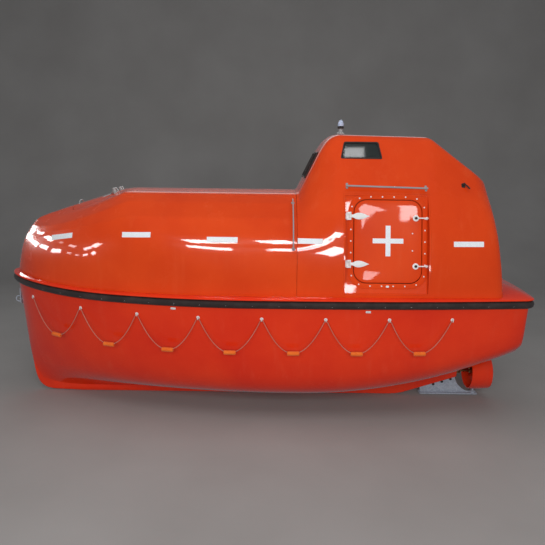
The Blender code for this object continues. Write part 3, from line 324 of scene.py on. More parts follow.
def add_tube(bm, path, radius, sides=12, closed=False):
    """Add a round bar along a path, carried without twist."""
    path = [Vector(p) for p in path]
    rings = []
    side = None
    for i, point in enumerate(path):
        if closed:
            ahead = (path[(i + 1) % len(path)] - path[i - 1]).normalized()
        else:
            ahead = direction_at(path, i)
        side = ahead.orthogonal() if side is None else side - ahead * side.dot(ahead)
        side.normalize()
        third = ahead.cross(side)
        rings.append([point + side * a + third * b for a, b in circle(radius, sides)])
    if closed:
        skin(bm, rings + rings[:1], wrap=True)
    else:
        close_ends(bm, skin(bm, rings, wrap=True))


def axes_about(axis):
    """An axis and two directions square to it."""
    along = Vector(axis).normalized()
    across = along.orthogonal().normalized()
    return along, across, along.cross(across)


def add_turned(bm, profile, centre, axis, segments=24):
    """Add a solid of revolution. The profile's (along, radius) points start and end on the axis."""
    along, across, third = axes_about(axis)
    turns = circle(1.0, segments)
    rows = [[Vector(centre) + along * a + (across * c + third * s) * r for c, s in turns] for a, r in profile]
    skin(bm, rows, wrap=True)


def add_ring(bm, centre, axis, major, minor, segments, sides):
    """Add a torus."""
    _, across, third = axes_about(axis)
    path = [Vector(centre) + across * a + third * b for a, b in circle(major, segments)]
    add_tube(bm, path, minor, sides, closed=True)


def rod(low, high, radius):
    """The profile of a round bar between two places on its axis."""
    return [(low, 0.0), (low, radius), (high, radius), (high, 0.0)]


def add_prism(bm, outline, low, high, place):
    """Add a closed prism. The outline's points and the two levels go through place(a, b, level)."""
    bottom = [bm.verts.new(place(a, b, low)) for a, b in outline]
    top = [bm.verts.new(place(a, b, high)) for a, b in outline]
    bm.faces.new(bottom)
    bm.faces.new(reversed(top))
    for i in range(len(outline)):
        j = (i + 1) % len(outline)
        bm.faces.new((bottom[i], top[i], top[j], bottom[j]))


def from_above(x, y, level):
    """Place an outline drawn from above."""
    return x, y, level


def from_side(x, z, level):
    """Place an outline drawn from the side."""
    return x, level, z


def rectangle(a_range, b_range):
    (low_a, high_a), (low_b, high_b) = a_range, b_range
    return [(low_a, low_b), (high_a, low_b), (high_a, high_b), (low_a, high_b)]


def add_box(bm, low, high):
    outline = rectangle((low[0], high[0]), (low[1], high[1]))
    add_prism(bm, outline, low[2], high[2], from_above)


def rounded_outline(a_range, b_range, radius, steps=8):
    corners = [
        (a_range[1] - radius, b_range[1] - radius, 0),
        (a_range[0] + radius, b_range[1] - radius, 90),
        (a_range[0] + radius, b_range[0] + radius, 180),
        (a_range[1] - radius, b_range[0] + radius, 270),
    ]
    points = []
    for centre_a, centre_b, start in corners:
        for step in range(steps + 1):
            angle = math.radians(start + 90 * step / steps)
            points.append((centre_a + radius * math.cos(angle), centre_b + radius * math.sin(angle)))
    return points


def rounded_plate(half_a, half_b, radius, steps):
    return rounded_outline((-half_a, half_a), (-half_b, half_b), radius, steps)


def placed(outlines, place):
    """Rows of points for outlines of equal length, each with its own level."""
    return [[place(a, b, level) for a, b in outline] for outline, level in outlines]


def add_layers(bm, outlines, place):
    """Add a closed solid through outlines of equal length."""
    close_ends(bm, skin(bm, placed(outlines, place), wrap=True))


def add_frame(bm, outlines, place):
    """Add a ring-shaped solid through outlines of equal length."""
    rows = placed(outlines, place)
    skin(bm, rows + rows[:1], wrap=True)


BOLT_SUNK = 0.002  # how far a bolt's head reaches into what it holds
BOLT_STEPS = 4


def add_bolts(bm, out, points, radius, height, segments=10):
    """Round bolt heads at points, facing one direction."""
    profile = [(-BOLT_SUNK, 0.0), (-BOLT_SUNK, radius)]
    for k in range(1, BOLT_STEPS):
        angle = math.pi / 2 * k / BOLT_STEPS
        profile.append((height * math.sin(angle), radius * math.cos(angle)))
    profile.append((height, 0.0))
    for point in points:
        add_turned(bm, profile, point, out, segments)


# Materials

class Finish:
    """A Principled material with helpers that add its procedural detail."""

    def __init__(self, name, colour, roughness, metallic=0.0, **sockets):
        self.material = bpy.data.materials.new(name)
        self.material.use_nodes = True
        self.tree = self.material.node_tree
        self.shader = self.tree.nodes["Principled BSDF"]
        self.shader.inputs["Base Color"].default_value = (*colour, 1.0)
        self.shader.inputs["Roughness"].default_value = roughness
        self.shader.inputs["Metallic"].default_value = metallic
        for socket, value in sockets.items():
            self.shader.inputs[socket.replace("_", " ")].default_value = value
        self.place = self.tree.nodes.new("ShaderNodeTexCoord").outputs["Object"]
        self.relief = None

    def node(self, kind, **values):
        made = self.tree.nodes.new(kind)
        for key, value in values.items():
            setattr(made, key, value)
        return made

    def link(self, source, target):
        self.tree.links.new(source, target)

    def stretched(self, scale):
        """Coordinates scaled apart along the three axes."""
        mapping = self.node("ShaderNodeMapping")
        mapping.inputs["Scale"].default_value = scale
        self.link(self.place, mapping.inputs["Vector"])
        return mapping.outputs["Vector"]

    def noise(self, scale, detail, roughness, vector=None):
        texture = self.node("ShaderNodeTexNoise")
        texture.inputs["Scale"].default_value = scale
        texture.inputs["Detail"].default_value = detail
        texture.inputs["Roughness"].default_value = roughness
        self.link(vector or self.place, texture.inputs["Vector"])
        return texture.outputs["Fac"]

    def cells(self, scale, feature="F1", output="Distance"):
        texture = self.node("ShaderNodeTexVoronoi", feature=feature)
        texture.inputs["Scale"].default_value = scale
        self.link(self.place, texture.inputs["Vector"])
        return texture.outputs[output]

    def ramp(self, source, stops):
        """Map a value through a ramp of two (position, colour) stops."""
        made = self.node("ShaderNodeValToRGB")
        for element, (position, value) in zip(made.color_ramp.elements, stops):
            element.position = position
            element.color = (*value, 1.0)
        self.link(source, made.inputs["Fac"])
        return made.outputs["Color"]

    def greys(self, source, start, end, low=0.0, high=1.0):
        """Map a value to a grey that goes from low to high between two of its levels."""
        return self.ramp(source, [(start, (low,) * 3), (end, (high,) * 3)])

    def faint(self, mask, share):
        """A mask held down to a share of its strength."""
        made = self.node("ShaderNodeMath", operation="MULTIPLY")
        made.inputs[1].default_value = share
        self.link(mask, made.inputs[0])
        return made.outputs[0]

    def mixed(self, mask, low, high):
        """Mix two colours, each a colour or a socket, by a mask."""
        made = self.node("ShaderNodeMix", data_type="RGBA")
        for socket, value in ((made.inputs[6], low), (made.inputs[7], high)):
            if isinstance(value, tuple):
                socket.default_value = (*value, 1.0)
            else:
                self.link(value, socket)
        self.link(mask, made.inputs[0])
        return made.outputs[2]

    def colour(self, source):
        self.link(source, self.shader.inputs["Base Color"])

    def roughness(self, source, low, high):
        self.link(self.greys(source, 0.0, 1.0, low, high), self.shader.inputs["Roughness"])

    def bump(self, source, distance):
        """Add relief, on top of what is there."""
        made = self.node("ShaderNodeBump")
        made.inputs["Strength"].default_value = 1.0
        made.inputs["Distance"].default_value = distance
        self.link(source, made.inputs["Height"])
        if self.relief:
            self.link(self.relief, made.inputs["Normal"])
        self.relief = made.outputs["Normal"]
        self.link(self.relief, self.shader.inputs["Normal"])


def gelcoat(name, deep, bright, dusty):
    """Glossy gelcoat with faint unfairness, patchy tone, faded streaks and specks of dust."""
    made = Finish(name, bright, 0.32, Specular_IOR_Level=0.05, Coat_Weight=0.60, Coat_Roughness=0.025)
    patches = made.greys(made.noise(1.3, 5.0, 0.55), 0.35, 0.68)
    tone = made.mixed(patches, deep, bright)
    streaks = made.greys(made.noise(1.0, 4.0, 0.6, made.stretched((9.0, 9.0, 0.8))), 0.56, 0.80)
    faded = made.mixed(made.faint(streaks, 0.16), tone, dusty)
    specks = made.greys(made.noise(160.0, 2.0, 0.6), 0.66, 0.74)
    made.colour(made.mixed(made.faint(specks, 0.10), faded, dusty))
    made.roughness(made.noise(5.0, 5.0, 0.65), 0.14, 0.36)
    made.bump(made.noise(1.6, 2.0, 0.4), 0.0016)
    made.bump(made.noise(240.0, 1.0, 0.5), 0.00002)
    made.link(made.relief, made.shader.inputs["Coat Normal"])
    return made.material


def rubber_finish():
    made = Finish("black_rubber", (0.012, 0.012, 0.014), 0.38, Specular_IOR_Level=0.55)
    dust = made.greys(made.noise(7.0, 6.0, 0.7), 0.45, 0.85)
    made.colour(made.mixed(made.faint(dust, 0.5), (0.026, 0.019, 0.018), (0.090, 0.068, 0.062)))
    made.roughness(made.noise(14.0, 5.0, 0.6), 0.28, 0.52)
    made.bump(made.noise(60.0, 4.0, 0.6), 0.0004)
    return made.material


def steel_finish():
    """Satin stainless steel with fine brushing."""
    made = Finish("stainless_steel", (0.66, 0.66, 0.65), 0.16, 0.70)
    made.roughness(made.noise(18.0, 5.0, 0.7), 0.16, 0.34)
    made.bump(made.noise(1.0, 3.0, 0.6, made.stretched((60.0, 900.0, 900.0))), 0.00006)
    return made.material


def polished_finish():
    """Polished white metal of the hinges and the dogs."""
    made = Finish("polished_steel", (0.92, 0.92, 0.91), 0.16, 0.25)
    made.roughness(made.noise(25.0, 5.0, 0.6), 0.10, 0.30)
    made.bump(made.noise(120.0, 3.0, 0.6), 0.00015)
    return made.material


def galvanised_finish():
    """Hot-dip zinc with its spangle and some dull grey."""
    made = Finish("galvanised_steel", (0.46, 0.52, 0.60), 0.42, 0.45)
    spangle = made.cells(70.0, output="Color")
    grey = made.ramp(spangle, [(0.2, (0.42, 0.47, 0.55)), (0.8, (0.56, 0.61, 0.69))])
    stain = made.greys(made.noise(9.0, 6.0, 0.7), 0.5, 0.75)
    made.colour(made.mixed(made.faint(stain, 0.35), grey, (0.36, 0.36, 0.37)))
    made.roughness(made.noise(40.0, 4.0, 0.6), 0.36, 0.56)
    made.bump(made.noise(90.0, 4.0, 0.6), 0.0001)
    return made.material


def bronze_finish():
    made = Finish("propeller_bronze", (0.52, 0.33, 0.13), 0.30, 1.0)
    stain = made.greys(made.noise(22.0, 6.0, 0.7), 0.42, 0.72)
    made.colour(made.mixed(stain, (0.56, 0.36, 0.14), (0.20, 0.15, 0.08)))
    made.roughness(made.noise(35.0, 4.0, 0.6), 0.22, 0.55)
    made.bump(made.noise(120.0, 3.0, 0.6), 0.0002)
    return made.material


def glass_finish():
    """A tinted pane with a trace of dust on it."""
    made = Finish("window_glass", (0.10, 0.125, 0.12), 0.02, Transmission_Weight=0.85, IOR=1.5)
    made.roughness(made.noise(12.0, 5.0, 0.7), 0.01, 0.07)
    return made.material


def tape_finish():
    """White retro-reflective tape with its fine cell pattern and a slight sheen."""
    made = Finish("reflective_tape", (0.80, 0.83, 0.86), 0.34, Coat_Weight=0.6, Coat_Roughness=0.12)
    cell = made.greys(made.cells(420.0, "DISTANCE_TO_EDGE"), 0.03, 0.10)
    white = made.mixed(cell, (0.60, 0.64, 0.68), (0.84, 0.87, 0.90))
    dirt = made.greys(made.noise(16.0, 6.0, 0.7), 0.50, 0.85)
    made.colour(made.mixed(made.faint(dirt, 0.30), white, (0.55, 0.50, 0.46)))
    made.bump(cell, 0.00008)
    return made.material


def rope_finish():
    """Faded rope with fibre along its strands."""
    made = Finish("lifeline_rope", (0.50, 0.15, 0.10), 0.80)
    fibre = made.noise(900.0, 3.0, 0.7)
    wear = made.greys(made.noise(6.0, 5.0, 0.6), 0.35, 0.7)
    tone = made.mixed(wear, (0.46, 0.11, 0.07), (0.52, 0.19, 0.14))
    made.colour(made.mixed(made.faint(fibre, 0.35), tone, (0.60, 0.34, 0.28)))
    made.bump(fibre, 0.0006)
    return made.material


def float_finish():
    made = Finish("float_foam", (0.80, 0.16, 0.012), 0.62, Sheen_Weight=0.1)
    patches = made.greys(made.noise(20.0, 5.0, 0.6), 0.35, 0.75)
    made.colour(made.mixed(patches, (0.74, 0.12, 0.010), (0.84, 0.19, 0.025)))
    made.bump(made.noise(300.0, 2.0, 0.6), 0.0004)
    return made.material


def lining_finish():
    made = Finish("cabin_lining", (0.66, 0.63, 0.57), 0.50)
    patches = made.greys(made.noise(2.5, 6.0, 0.6), 0.3, 0.75)
    made.colour(made.mixed(patches, (0.62, 0.59, 0.53), (0.70, 0.67, 0.61)))
    made.roughness(made.noise(10.0, 4.0, 0.6), 0.38, 0.6)
    made.bump(made.noise(380.0, 2.0, 0.6), 0.00025)
    return made.material


def vinyl_finish():
    made = Finish("seat_vinyl", (0.030, 0.034, 0.040), 0.45)
    made.roughness(made.noise(30.0, 4.0, 0.6), 0.34, 0.55)
    made.bump(made.cells(420.0), 0.00025)
    return made.material


def enamel_finish():
    made = Finish("engine_paint", (0.10, 0.22, 0.16), 0.40, Coat_Weight=0.3)
    patches = made.greys(made.noise(14.0, 6.0, 0.7), 0.4, 0.75)
    made.colour(made.mixed(patches, (0.09, 0.21, 0.15), (0.12, 0.25, 0.18)))
    made.bump(made.noise(200.0, 2.0, 0.5), 0.0002)
    return made.material


def lens_finish():
    made = Finish("lamp_lens", (0.62, 0.72, 0.92), 0.08, Transmission_Weight=0.35, IOR=1.45)
    made.roughness(made.noise(40.0, 3.0, 0.6), 0.05, 0.16)
    return made.material


def dark_finish():
    made = Finish("dark_moulding", (0.030, 0.026, 0.024), 0.40)
    made.roughness(made.noise(30.0, 4.0, 0.6), 0.30, 0.55)
    made.bump(made.noise(260.0, 2.0, 0.5), 0.0002)
    return made.material


CANOPY = gelcoat("canopy_gelcoat", (0.60, 0.044, 0.005), (0.68, 0.060, 0.007), (0.70, 0.14, 0.05))
HULL = gelcoat("hull_gelcoat", (0.69, 0.028, 0.008), (0.78, 0.044, 0.010), (0.75, 0.12, 0.06))
RUBBER = rubber_finish()
STEEL = steel_finish()
POLISHED = polished_finish()
GALVANISED = galvanised_finish()
BRONZE = bronze_finish()
GLASS = glass_finish()
TAPE = tape_finish()
ROPE = rope_finish()
FOAM = float_finish()
LINING = lining_finish()
VINYL = vinyl_finish()
ENAMEL = enamel_finish()
LENS = lens_finish()
DARK = dark_finish()

# The lifelines and their floats

def rope_ring(middles, walked, i, side):
    """The rope's section at one of its middles, with the grooves between its strands."""
    ahead = direction_at(middles, i)
    third = ahead.cross(Vector((0, side, 0))).normalized()
    across = third.cross(ahead)
    turn = math.tau * walked[i] / STRAND_LAY
    ring = []
    for k in range(ROPE_SIDES):
        angle = math.tau * k / ROPE_SIDES
        groove = abs(math.sin(STRANDS / 2 * (angle - turn)))
        radius = ROPE_DIAMETER / 2 * (1 - STRAND_DEPTH + STRAND_DEPTH * groove)
        ring.append(middles[i] + across * (radius * math.cos(angle)) + third * (radius * math.sin(angle)))
    return ring


def rope_float(side, word, loop):
    """A foam float threaded on the rope at the bottom of a loop."""
    middle = rope_point(side, loop + 0.5)
    along = (rope_point(side, loop + 0.52) - rope_point(side, loop + 0.48)).normalized()
    half = FLOAT_LENGTH / 2
    hole = ROPE_DIAMETER / 2 + FLOAT_PLAY
    end = []
    for k in range(FLOAT_STEPS + 1):
        angle = math.pi / 2 * k / FLOAT_STEPS
        x = half - FLOAT_RADIUS * FLOAT_ROUND * (1 - math.sin(angle))
        end.append((x, FLOAT_RADIUS * (1 - FLOAT_ROUND + FLOAT_ROUND * math.cos(angle))))
    profile = [(-half, hole)] + [(-x, r) for x, r in reversed(end)] + end + [(half, hole), (-half, hole)]
    bm = bmesh.new()
    add_turned(bm, profile, middle, along, 20)
    return piece_of(f"float_{word}_{loop + 1}", bm, FOAM, "boat", angle=50)


def lifeline(side, word):
    """A three-strand rope from the first eye to the last."""
    count = (EYE_COUNT - 1) * ROPE_STEPS
    path = [rope_point(side, i / ROPE_STEPS) for i in range(count + 1)]
    walked = np.concatenate([[0.0], np.cumsum([(b - a).length for a, b in zip(path, path[1:])])])
    even = np.linspace(0.0, walked[-1], int(walked[-1] / RING_STEP))
    fine = np.stack([np.interp(even, walked, [point[k] for point in path]) for k in range(3)], axis=1)
    middles = [Vector(point) for point in fine.tolist()]
    rings = [rope_ring(middles, even, i, side) for i in range(len(middles))]
    bm = bmesh.new()
    close_ends(bm, skin(bm, rings, wrap=True))
    node = f"lifeline_{word}"
    rope = piece_of(f"lifeline_rope_{word}", bm, ROPE, "boat", node, angle=60, merge=FINE_WELD)
    floats = [rope_float(side, word, loop) for loop in range(EYE_COUNT - 1)]


for side_sign, side_word in SIDES:
    lifeline(side_sign, side_word)

# Hull

HULL_STATIONS = 84
STATION_BUNCH = 2.2
GIRTH_STEPS = 5
CORNER_STEPS = 5
TRANSOM_STEPS = 10


def girth(points, steps):
    """Smooth a column of hull points from the keel to the fender, with the wall under the fender straight."""
    return catmull(points[:-1], steps) + [Vector(points[-1])]


def hull_rows():
    """The starboard side, the corner and the transom, as rows of points from the keel up."""
    rows = []
    ends = [
        (TRANSOM_X - TRANSOM_ROUND * line[4] ** 2, min(CORNER_RADIUS, 0.4 * line[4]))
        for line in HULL_LINES
    ]
    for i in range(HULL_STATIONS):
        part = (i / (HULL_STATIONS - 1)) ** STATION_BUNCH
        column = []
        for line, (end_x, radius) in zip(HULL_LINES, ends):
            x = line[0] + (end_x - radius - line[0]) * part
            half, height = line_point(line, x)
            column.append((x, 0.0 if i == 0 else half, height))
        rows.append(girth(column, GIRTH_STEPS))
    for k in range(1, CORNER_STEPS + 1):
        angle = math.pi / 2 * k / CORNER_STEPS
        column = []
        for line, (end_x, radius) in zip(HULL_LINES, ends):
            half, height = line_point(line, end_x)
            x = end_x - radius + radius * math.sin(angle)
            column.append((x, half - radius * (1 - math.cos(angle)), height))
        rows.append(girth(column, GIRTH_STEPS))
    for k in range(1, TRANSOM_STEPS + 1):
        share = 1 - k / TRANSOM_STEPS
        column = []
        for line, (end_x, radius) in zip(HULL_LINES, ends):
            half, height = line_point(line, end_x)
            inner = (half - radius) * share
            x = end_x + TRANSOM_ROUND * ((half - radius) ** 2 - inner**2)
            column.append((x, inner, height))
        rows.append(girth(column, GIRTH_STEPS))
    return rows


def outward(points, i):
    """The horizontal direction out of the plan curve that runs aft along starboard and round the transom."""
    before, after = points[max(i - 1, 0)], points[min(i + 1, len(points) - 1)]
    along = Vector((after.x - before.x, after.y - before.y, 0.0))
    out = Vector((-along.y, along.x, 0.0)).normalized()
    if i == 0:
        return Vector((-1.0, 0.0, 0.0))
    if i == len(points) - 1:
        return Vector((1.0, 0.0, 0.0))
    return out


SIDE_ROWS = hull_rows()
SHEER_CURVE = [row[-1] for row in SIDE_ROWS]
SHEER_OUT = [outward(SHEER_CURVE, i) for i in range(len(SHEER_CURVE))]

# The deck-edge lip: distance out from the side, and height above the fender's top.
LIP_PROFILE = [
    (0.000, 0.0035),
    (LIP_WIDTH - 0.004, 0.0035),
    (LIP_WIDTH, 0.0075),
    (LIP_WIDTH, 0.0130),
    (LIP_WIDTH - 0.0025, 0.0185),
    (LIP_WIDTH - 0.0085, 0.0220),
]


def mirrored(points):
    """A column from port deck edge, under the keel, to starboard deck edge."""
    return [Vector((p.x, -p.y, p.z)) for p in reversed(points)] + list(points)


def hull_solid():
    rows = []
    for row, edge, out in zip(SIDE_ROWS, SHEER_CURVE, SHEER_OUT):
        lip = [edge + out * reach + Vector((0, 0, up)) for reach, up in LIP_PROFILE]
        rows.append(mirrored(row + lip))
    bm = bmesh.new()
    skin(bm, rows, wrap=True)
    return from_bmesh("hull_skin", bm, HULL)


KEEL_HALF_WIDTH = 0.055
KEEL_TOP_Z = -0.36
KEEL_FULL_X = -2.10
KEEL_NOSE_X = -2.70
HEEL_END_X = 2.31
FOREFOOT = [(-2.662, -0.300), (-2.648, -0.425), (-2.620, -0.535), (-2.576, -0.605)]
FOREFOOT += [(-2.510, -0.646), (-2.420, KEEL_Z)]


def keel_solid():
    outline = flat_curve(FOREFOOT, 4) + [
        (KEEL_FULL_X, KEEL_Z),
        (1.52, KEEL_Z),
        (1.60, KEEL_Z + 0.005),
        (1.68, KEEL_Z + 0.020),
        (HEEL_END_X, -0.436),
        (HEEL_END_X, -0.080),
        (1.70, -0.200),
        (0.90, KEEL_TOP_Z),
        (KEEL_FULL_X, KEEL_TOP_Z),
        (-2.300, KEEL_TOP_Z),
        (-2.560, -0.280),
    ]
    bm = bmesh.new()
    add_prism(bm, outline, -KEEL_HALF_WIDTH, KEEL_HALF_WIDTH, from_side)
    for vertex in bm.verts:
        narrow = (vertex.co.x - KEEL_NOSE_X) / (KEEL_FULL_X - KEEL_NOSE_X)
        vertex.co.y *= min(1.0, max(0.25, narrow))
    bmesh.ops.triangulate(bm, faces=[face for face in bm.faces if len(face.verts) == 4])
    return bevel(from_bmesh("keel", bm, HULL), 0.012, 50, segments=3)


WELL_STATIONS = [-2.05, -1.90, -1.70, -1.50, -1.30, -1.05, -0.80, -0.50, -0.20, 0.20, 0.60, 0.90, 1.20, 1.50]
WELL_STATIONS += [SOLE_RISE_X, 2.00, 2.20]
WELL_LEVELS = [-0.18, -0.10, 0.00, 0.12, 0.28, 0.45, 0.60, DECK_Z + 0.20]


def well_solid():
    """The cabin well, which is cut out of the hull."""
    rows = []
    for x in WELL_STATIONS:
        sole = SOLE_Z + SOLE_SLOPE * max(0.0, x - SOLE_RISE_X)
        levels = [sole] + WELL_LEVELS
        half = [(max(0.05, hull_half_breadth(x, z) - WELL_WALL), z) for z in levels]
        rows.append(mirrored([Vector((x, y, z)) for y, z in half]))
    bm = bmesh.new()
    close_ends(bm, skin(bm, rows, wrap=True))
    return from_bmesh("well", bm, LINING)


BORES = [
    # start, direction, length, radius: round the nozzle's stock and for the stern tube
    ((PROPELLER_X, 0, -0.30), (0, 0, 1), 0.50, 0.0275),
    ((2.25, 0, SHAFT_Z), (1, 0, 0), 0.26, 0.036),
]


def make_hull():
    hull = hull_solid()
    boolean(hull, keel_solid(), "UNION")
    cut(hull, well_solid())
    for start, direction, length, radius in BORES:
        bm = bmesh.new()
        add_turned(bm, rod(0.0, length, radius), start, direction)
        cut(hull, from_bmesh("bore", bm, HULL))
    return show(shade(hull, 32), "boat", "hull", slot="hull_gelcoat")


hull_skin = make_hull()


# Fender

FENDER_GAP = 0.0005  # between the rubber and the hull
FENDER_STEPS = 12


def fender_section():
    """(outward, height) points of the D-section, from its lower inner edge round to its upper."""
    middle = (FENDER_LOW_Z + FENDER_HIGH_Z) / 2
    half = (FENDER_HIGH_Z - FENDER_LOW_Z) / 2 - FENDER_GAP
    flat = FENDER_WIDTH - half
    points = [(FENDER_GAP, middle - half)]
    for k in range(FENDER_STEPS + 1):
        angle = math.pi * (k / FENDER_STEPS - 0.5)
        points.append((flat + half * math.cos(angle), middle + half * math.sin(angle)))
    points.append((FENDER_GAP, middle + half))
    return points


def loop_of(reach, height):
    """A closed loop round the whole boat, that far out from the sheer and at that height above amidships."""
    half = [
        Vector((p.x + out.x * reach, p.y + out.y * reach, height + sheer_rise(p.x)))
        for p, out in zip(SHEER_CURVE, SHEER_OUT)
    ]
    port = [Vector((p.x, -p.y, p.z)) for p in reversed(half[1:-1])]
    return half + port


def make_fender():
    bm = bmesh.new()
    loops = [loop_of(reach, height) for reach, height in fender_section()]
    skin(bm, loops + loops[:1], wrap=True)
    nodes = ("fender_port", "fender_starboard", "fender_stern")
    piece_of("fender_rubber", bm, RUBBER, "boat", *nodes, angle=50)


make_fender()

FENDER_BOLT_PITCH = 0.255
FENDER_BOLT_FIRST = 0.120
FENDER_BOLT = [(-0.004, 0.0), (-0.004, 0.0085), (0.0002, 0.0085), (0.0008, 0.0060), (0.0028, 0.0040)]
FENDER_BOLT += [(0.0034, 0.0)]


def spaced(points, pitch, first):
    """Places at an even pitch along a closed loop: (point, direction along)."""
    found = []
    wanted = first
    walked = 0.0
    for here, following in zip(points, points[1:] + points[:1]):
        length = (following - here).length
        while length > 0 and wanted <= walked + length:
            part = (wanted - walked) / length
            found.append((here.lerp(following, part), (following - here).normalized()))
            wanted += pitch
        walked += length
    return found


def make_fender_bolts():
    """The bolts through the fender, each in a shallow washer."""
    bm = bmesh.new()
    loop = loop_of(FENDER_WIDTH - 0.004, (FENDER_LOW_Z + FENDER_HIGH_Z) / 2 - 0.006)
    for point, along in spaced(loop, FENDER_BOLT_PITCH, FENDER_BOLT_FIRST):
        add_turned(bm, FENDER_BOLT, point, (-along.y, along.x, 0.0), 12)
    piece_of("fender_bolts", bm, POLISHED, "boat")


make_fender_bolts()

# Canopy and wheelhouse

CANOPY_BASE_Z = DECK_Z + 0.0010
SHELL = 0.050
JOINT_X = 0.374
WALL_LEAN = 0.114
WALL_TOP_Z = 1.854
CANOPY_AFT_X = 0.60

CANOPY_LINES = [
    # stem_x, stem_z, mid_y, mid_z, nose, power, blunt, rise, climb
    (-2.735, CANOPY_BASE_Z, 1.000, CANOPY_BASE_Z, 2.60, 1.9, 0.60, 1.3, 2.0),
    (-2.735, 0.765, 1.000, 0.765, 2.60, 1.9, 0.60, 1.3, 2.0),
    (-2.706, 0.985, 0.988, 0.985, 2.50, 1.9, 0.60, 1.3, 2.0),
    (-2.664, 1.125, 0.955, 1.190, 2.40, 2.0, 0.62, 1.6, 1.6),
    (-2.628, 1.195, 0.900, 1.300, 2.20, 2.1, 0.66, 1.5, 1.5),
    (-2.598, 1.240, 0.765, 1.460, 1.70, 2.1, 0.72, 1.3, 1.6),
    (-2.570, 1.285, 0.570, 1.600, 1.15, 2.0, 0.76, 1.2, 1.7),
    (-2.515, 1.345, 0.410, 1.686, 1.15, 1.9, 0.80, 1.1, 1.5),
]
CROWN_STEM = (-2.480, 1.368)
CROWN_Z = 1.720
CROWN_RISE = 0.99
BASE_LINES_Z = 0.8  # lines below it follow the deck edge

# How far each knuckle of the section is rounded: the share of the side below it and of the side above it.
CANOPY_ROUND = [(0, 0), (0.3, 0.3), (0.5, 0.45), (0.45, 0.45)]
CANOPY_ROUND += [(0.45, 0.22), (0.16, 0.14), (0.14, 0.16), (0.20, 0.12)]
CROWN_ROUND = (0.45, 0.45)
CANOPY_STATIONS = 72

WHEELHOUSE_STATIONS = [
    # x, lean, base_y, shoulder_y, shoulder_z, crease_y, crease_z, edge_y, edge_z, crown_z
    (0.340, 0, 1.000, 0.955, 1.190, 0.570, 1.600, 0.410, 1.686, 1.720),
    (JOINT_X + 0.02, 0, 1.000, 0.955, 1.190, 0.570, 1.600, 0.410, 1.690, 1.725),
    (0.648, 0, 1.000, 0.952, 1.195, 0.600, 1.860, 0.430, 2.205, 2.235),
    (0.762, 0, 0.998, 0.950, 1.200, 0.610, 1.965, 0.440, 2.288, 2.317),
    (1.730, 0, 0.988, 0.940, 1.200, 0.610, 1.950, 0.440, 2.272, 2.300),
    (2.200, 1, 0.955, 0.905, 1.190, 0.600, 1.770, 0.500, 1.925, 1.945),
    (2.268, 1, 0.935, 0.885, 1.190, 0.580, 1.730, 0.480, 1.868, 1.886),
    (2.305, 1, 0.890, 0.840, 1.185, 0.545, 1.705, 0.440, 1.840, 1.856),
]
FRONT_FOOT, FRONT_TOP, ROOF_FORE, ROOF_AFT, SLOPE_FOOT = WHEELHOUSE_STATIONS[1:6]
BULGE = [(0.214, 0.032), (0.589, 0.040)]
# The same shares for the wheelhouse's sections, and from station to station.
HOUSE_ROUND = [(0, 0), (0.3, 0.3), (0.5, 0.45), (0.45, 0.40)]
HOUSE_ROUND += [(0.40, 0.40), (0.40, 0.40), (0.30, 0.14), (0.22, 0.14)]
STATION_ROUND = [(0, 0), (0.5, 0.05), (0.25, 0.5), (0.5, 0.06)]
STATION_ROUND += [(0.05, 0.10), (0.10, 0.5), (0.5, 0.5), (0.5, 0.07)]


def corner_mix(shares, corner_steps=6, flat_steps=3):
    """Weights that round the corners of a polyline of control points, a row for each new point."""
    count = len(shares)
    rows = []

    def add(*weights):
        row = np.zeros(count)
        for index, weight in weights:
            row[index] += weight
        rows.append(row)

    add((0, 1.0))
    left = 0.0
    for i in range(1, count):
        before, after = shares[i] if i < count - 1 else (0.0, 0.0)
        for k in range(1, flat_steps + 1):
            part = left + (1 - before - left) * k / flat_steps
            if k < flat_steps or i == count - 1:
                add((i - 1, 1 - part), (i, part))
        if i == count - 1:
            break
        for k in range(corner_steps + 1):
            t = k / corner_steps
            start, middle, end = (1 - t) ** 2, 2 * t * (1 - t), t * t
            own = start * (1 - before) + middle + end * (1 - after)
            add((i - 1, start * before), (i, own), (i + 1, end * after))
        left = after
    return np.array(rows)


def canopy_point(line, x):
    stem_x, stem_z, mid_y, mid_z, nose, power, blunt, rise, climb = line
    ahead = min(1.0, max(0.0, 1.0 - (x - stem_x) / nose))
    half = mid_y * (1.0 - ahead**power) ** blunt
    down = max(0.0, 1.0 - (x - stem_x) / rise)
    height = mid_z - (mid_z - stem_z) * (1.0 - (1.0 - down) ** climb)
    if mid_z < BASE_LINES_Z:
        height = mid_z + sheer_rise(x)
    return half, height


def crown_height(x):
    stem_x, stem_z = CROWN_STEM
    part = min(1.0, max(0.0, (x - stem_x) / CROWN_RISE))
    return stem_z + (CROWN_Z - stem_z) * part**0.80


def across(side, crown):
    """Control points from port base over the crown to starboard base."""
    port = [(x, -y, z) for x, y, z in side]
    return port + [crown] + list(reversed(side))


def both_sides(shares, crown_share):
    swapped = [(after, before) for before, after in reversed(shares)]
    return list(shares) + [crown_share] + swapped


def canopy_grid():
    rows = []
    for i in range(CANOPY_STATIONS):
        part = (i / (CANOPY_STATIONS - 1)) ** STATION_BUNCH
        side = []
        for line in CANOPY_LINES:
            x = line[0] + (CANOPY_AFT_X - line[0]) * part
            half, height = canopy_point(line, x)
            side.append((x, 0.0 if i == 0 else half, height))
        crown_x = CROWN_STEM[0] + (CANOPY_AFT_X - CROWN_STEM[0]) * part
        rows.append(across(side, (crown_x, 0.0, crown_height(crown_x))))
    mix = corner_mix(both_sides(CANOPY_ROUND, CROWN_ROUND))
    return np.einsum("ak,nkc->nac", mix, np.array(rows))


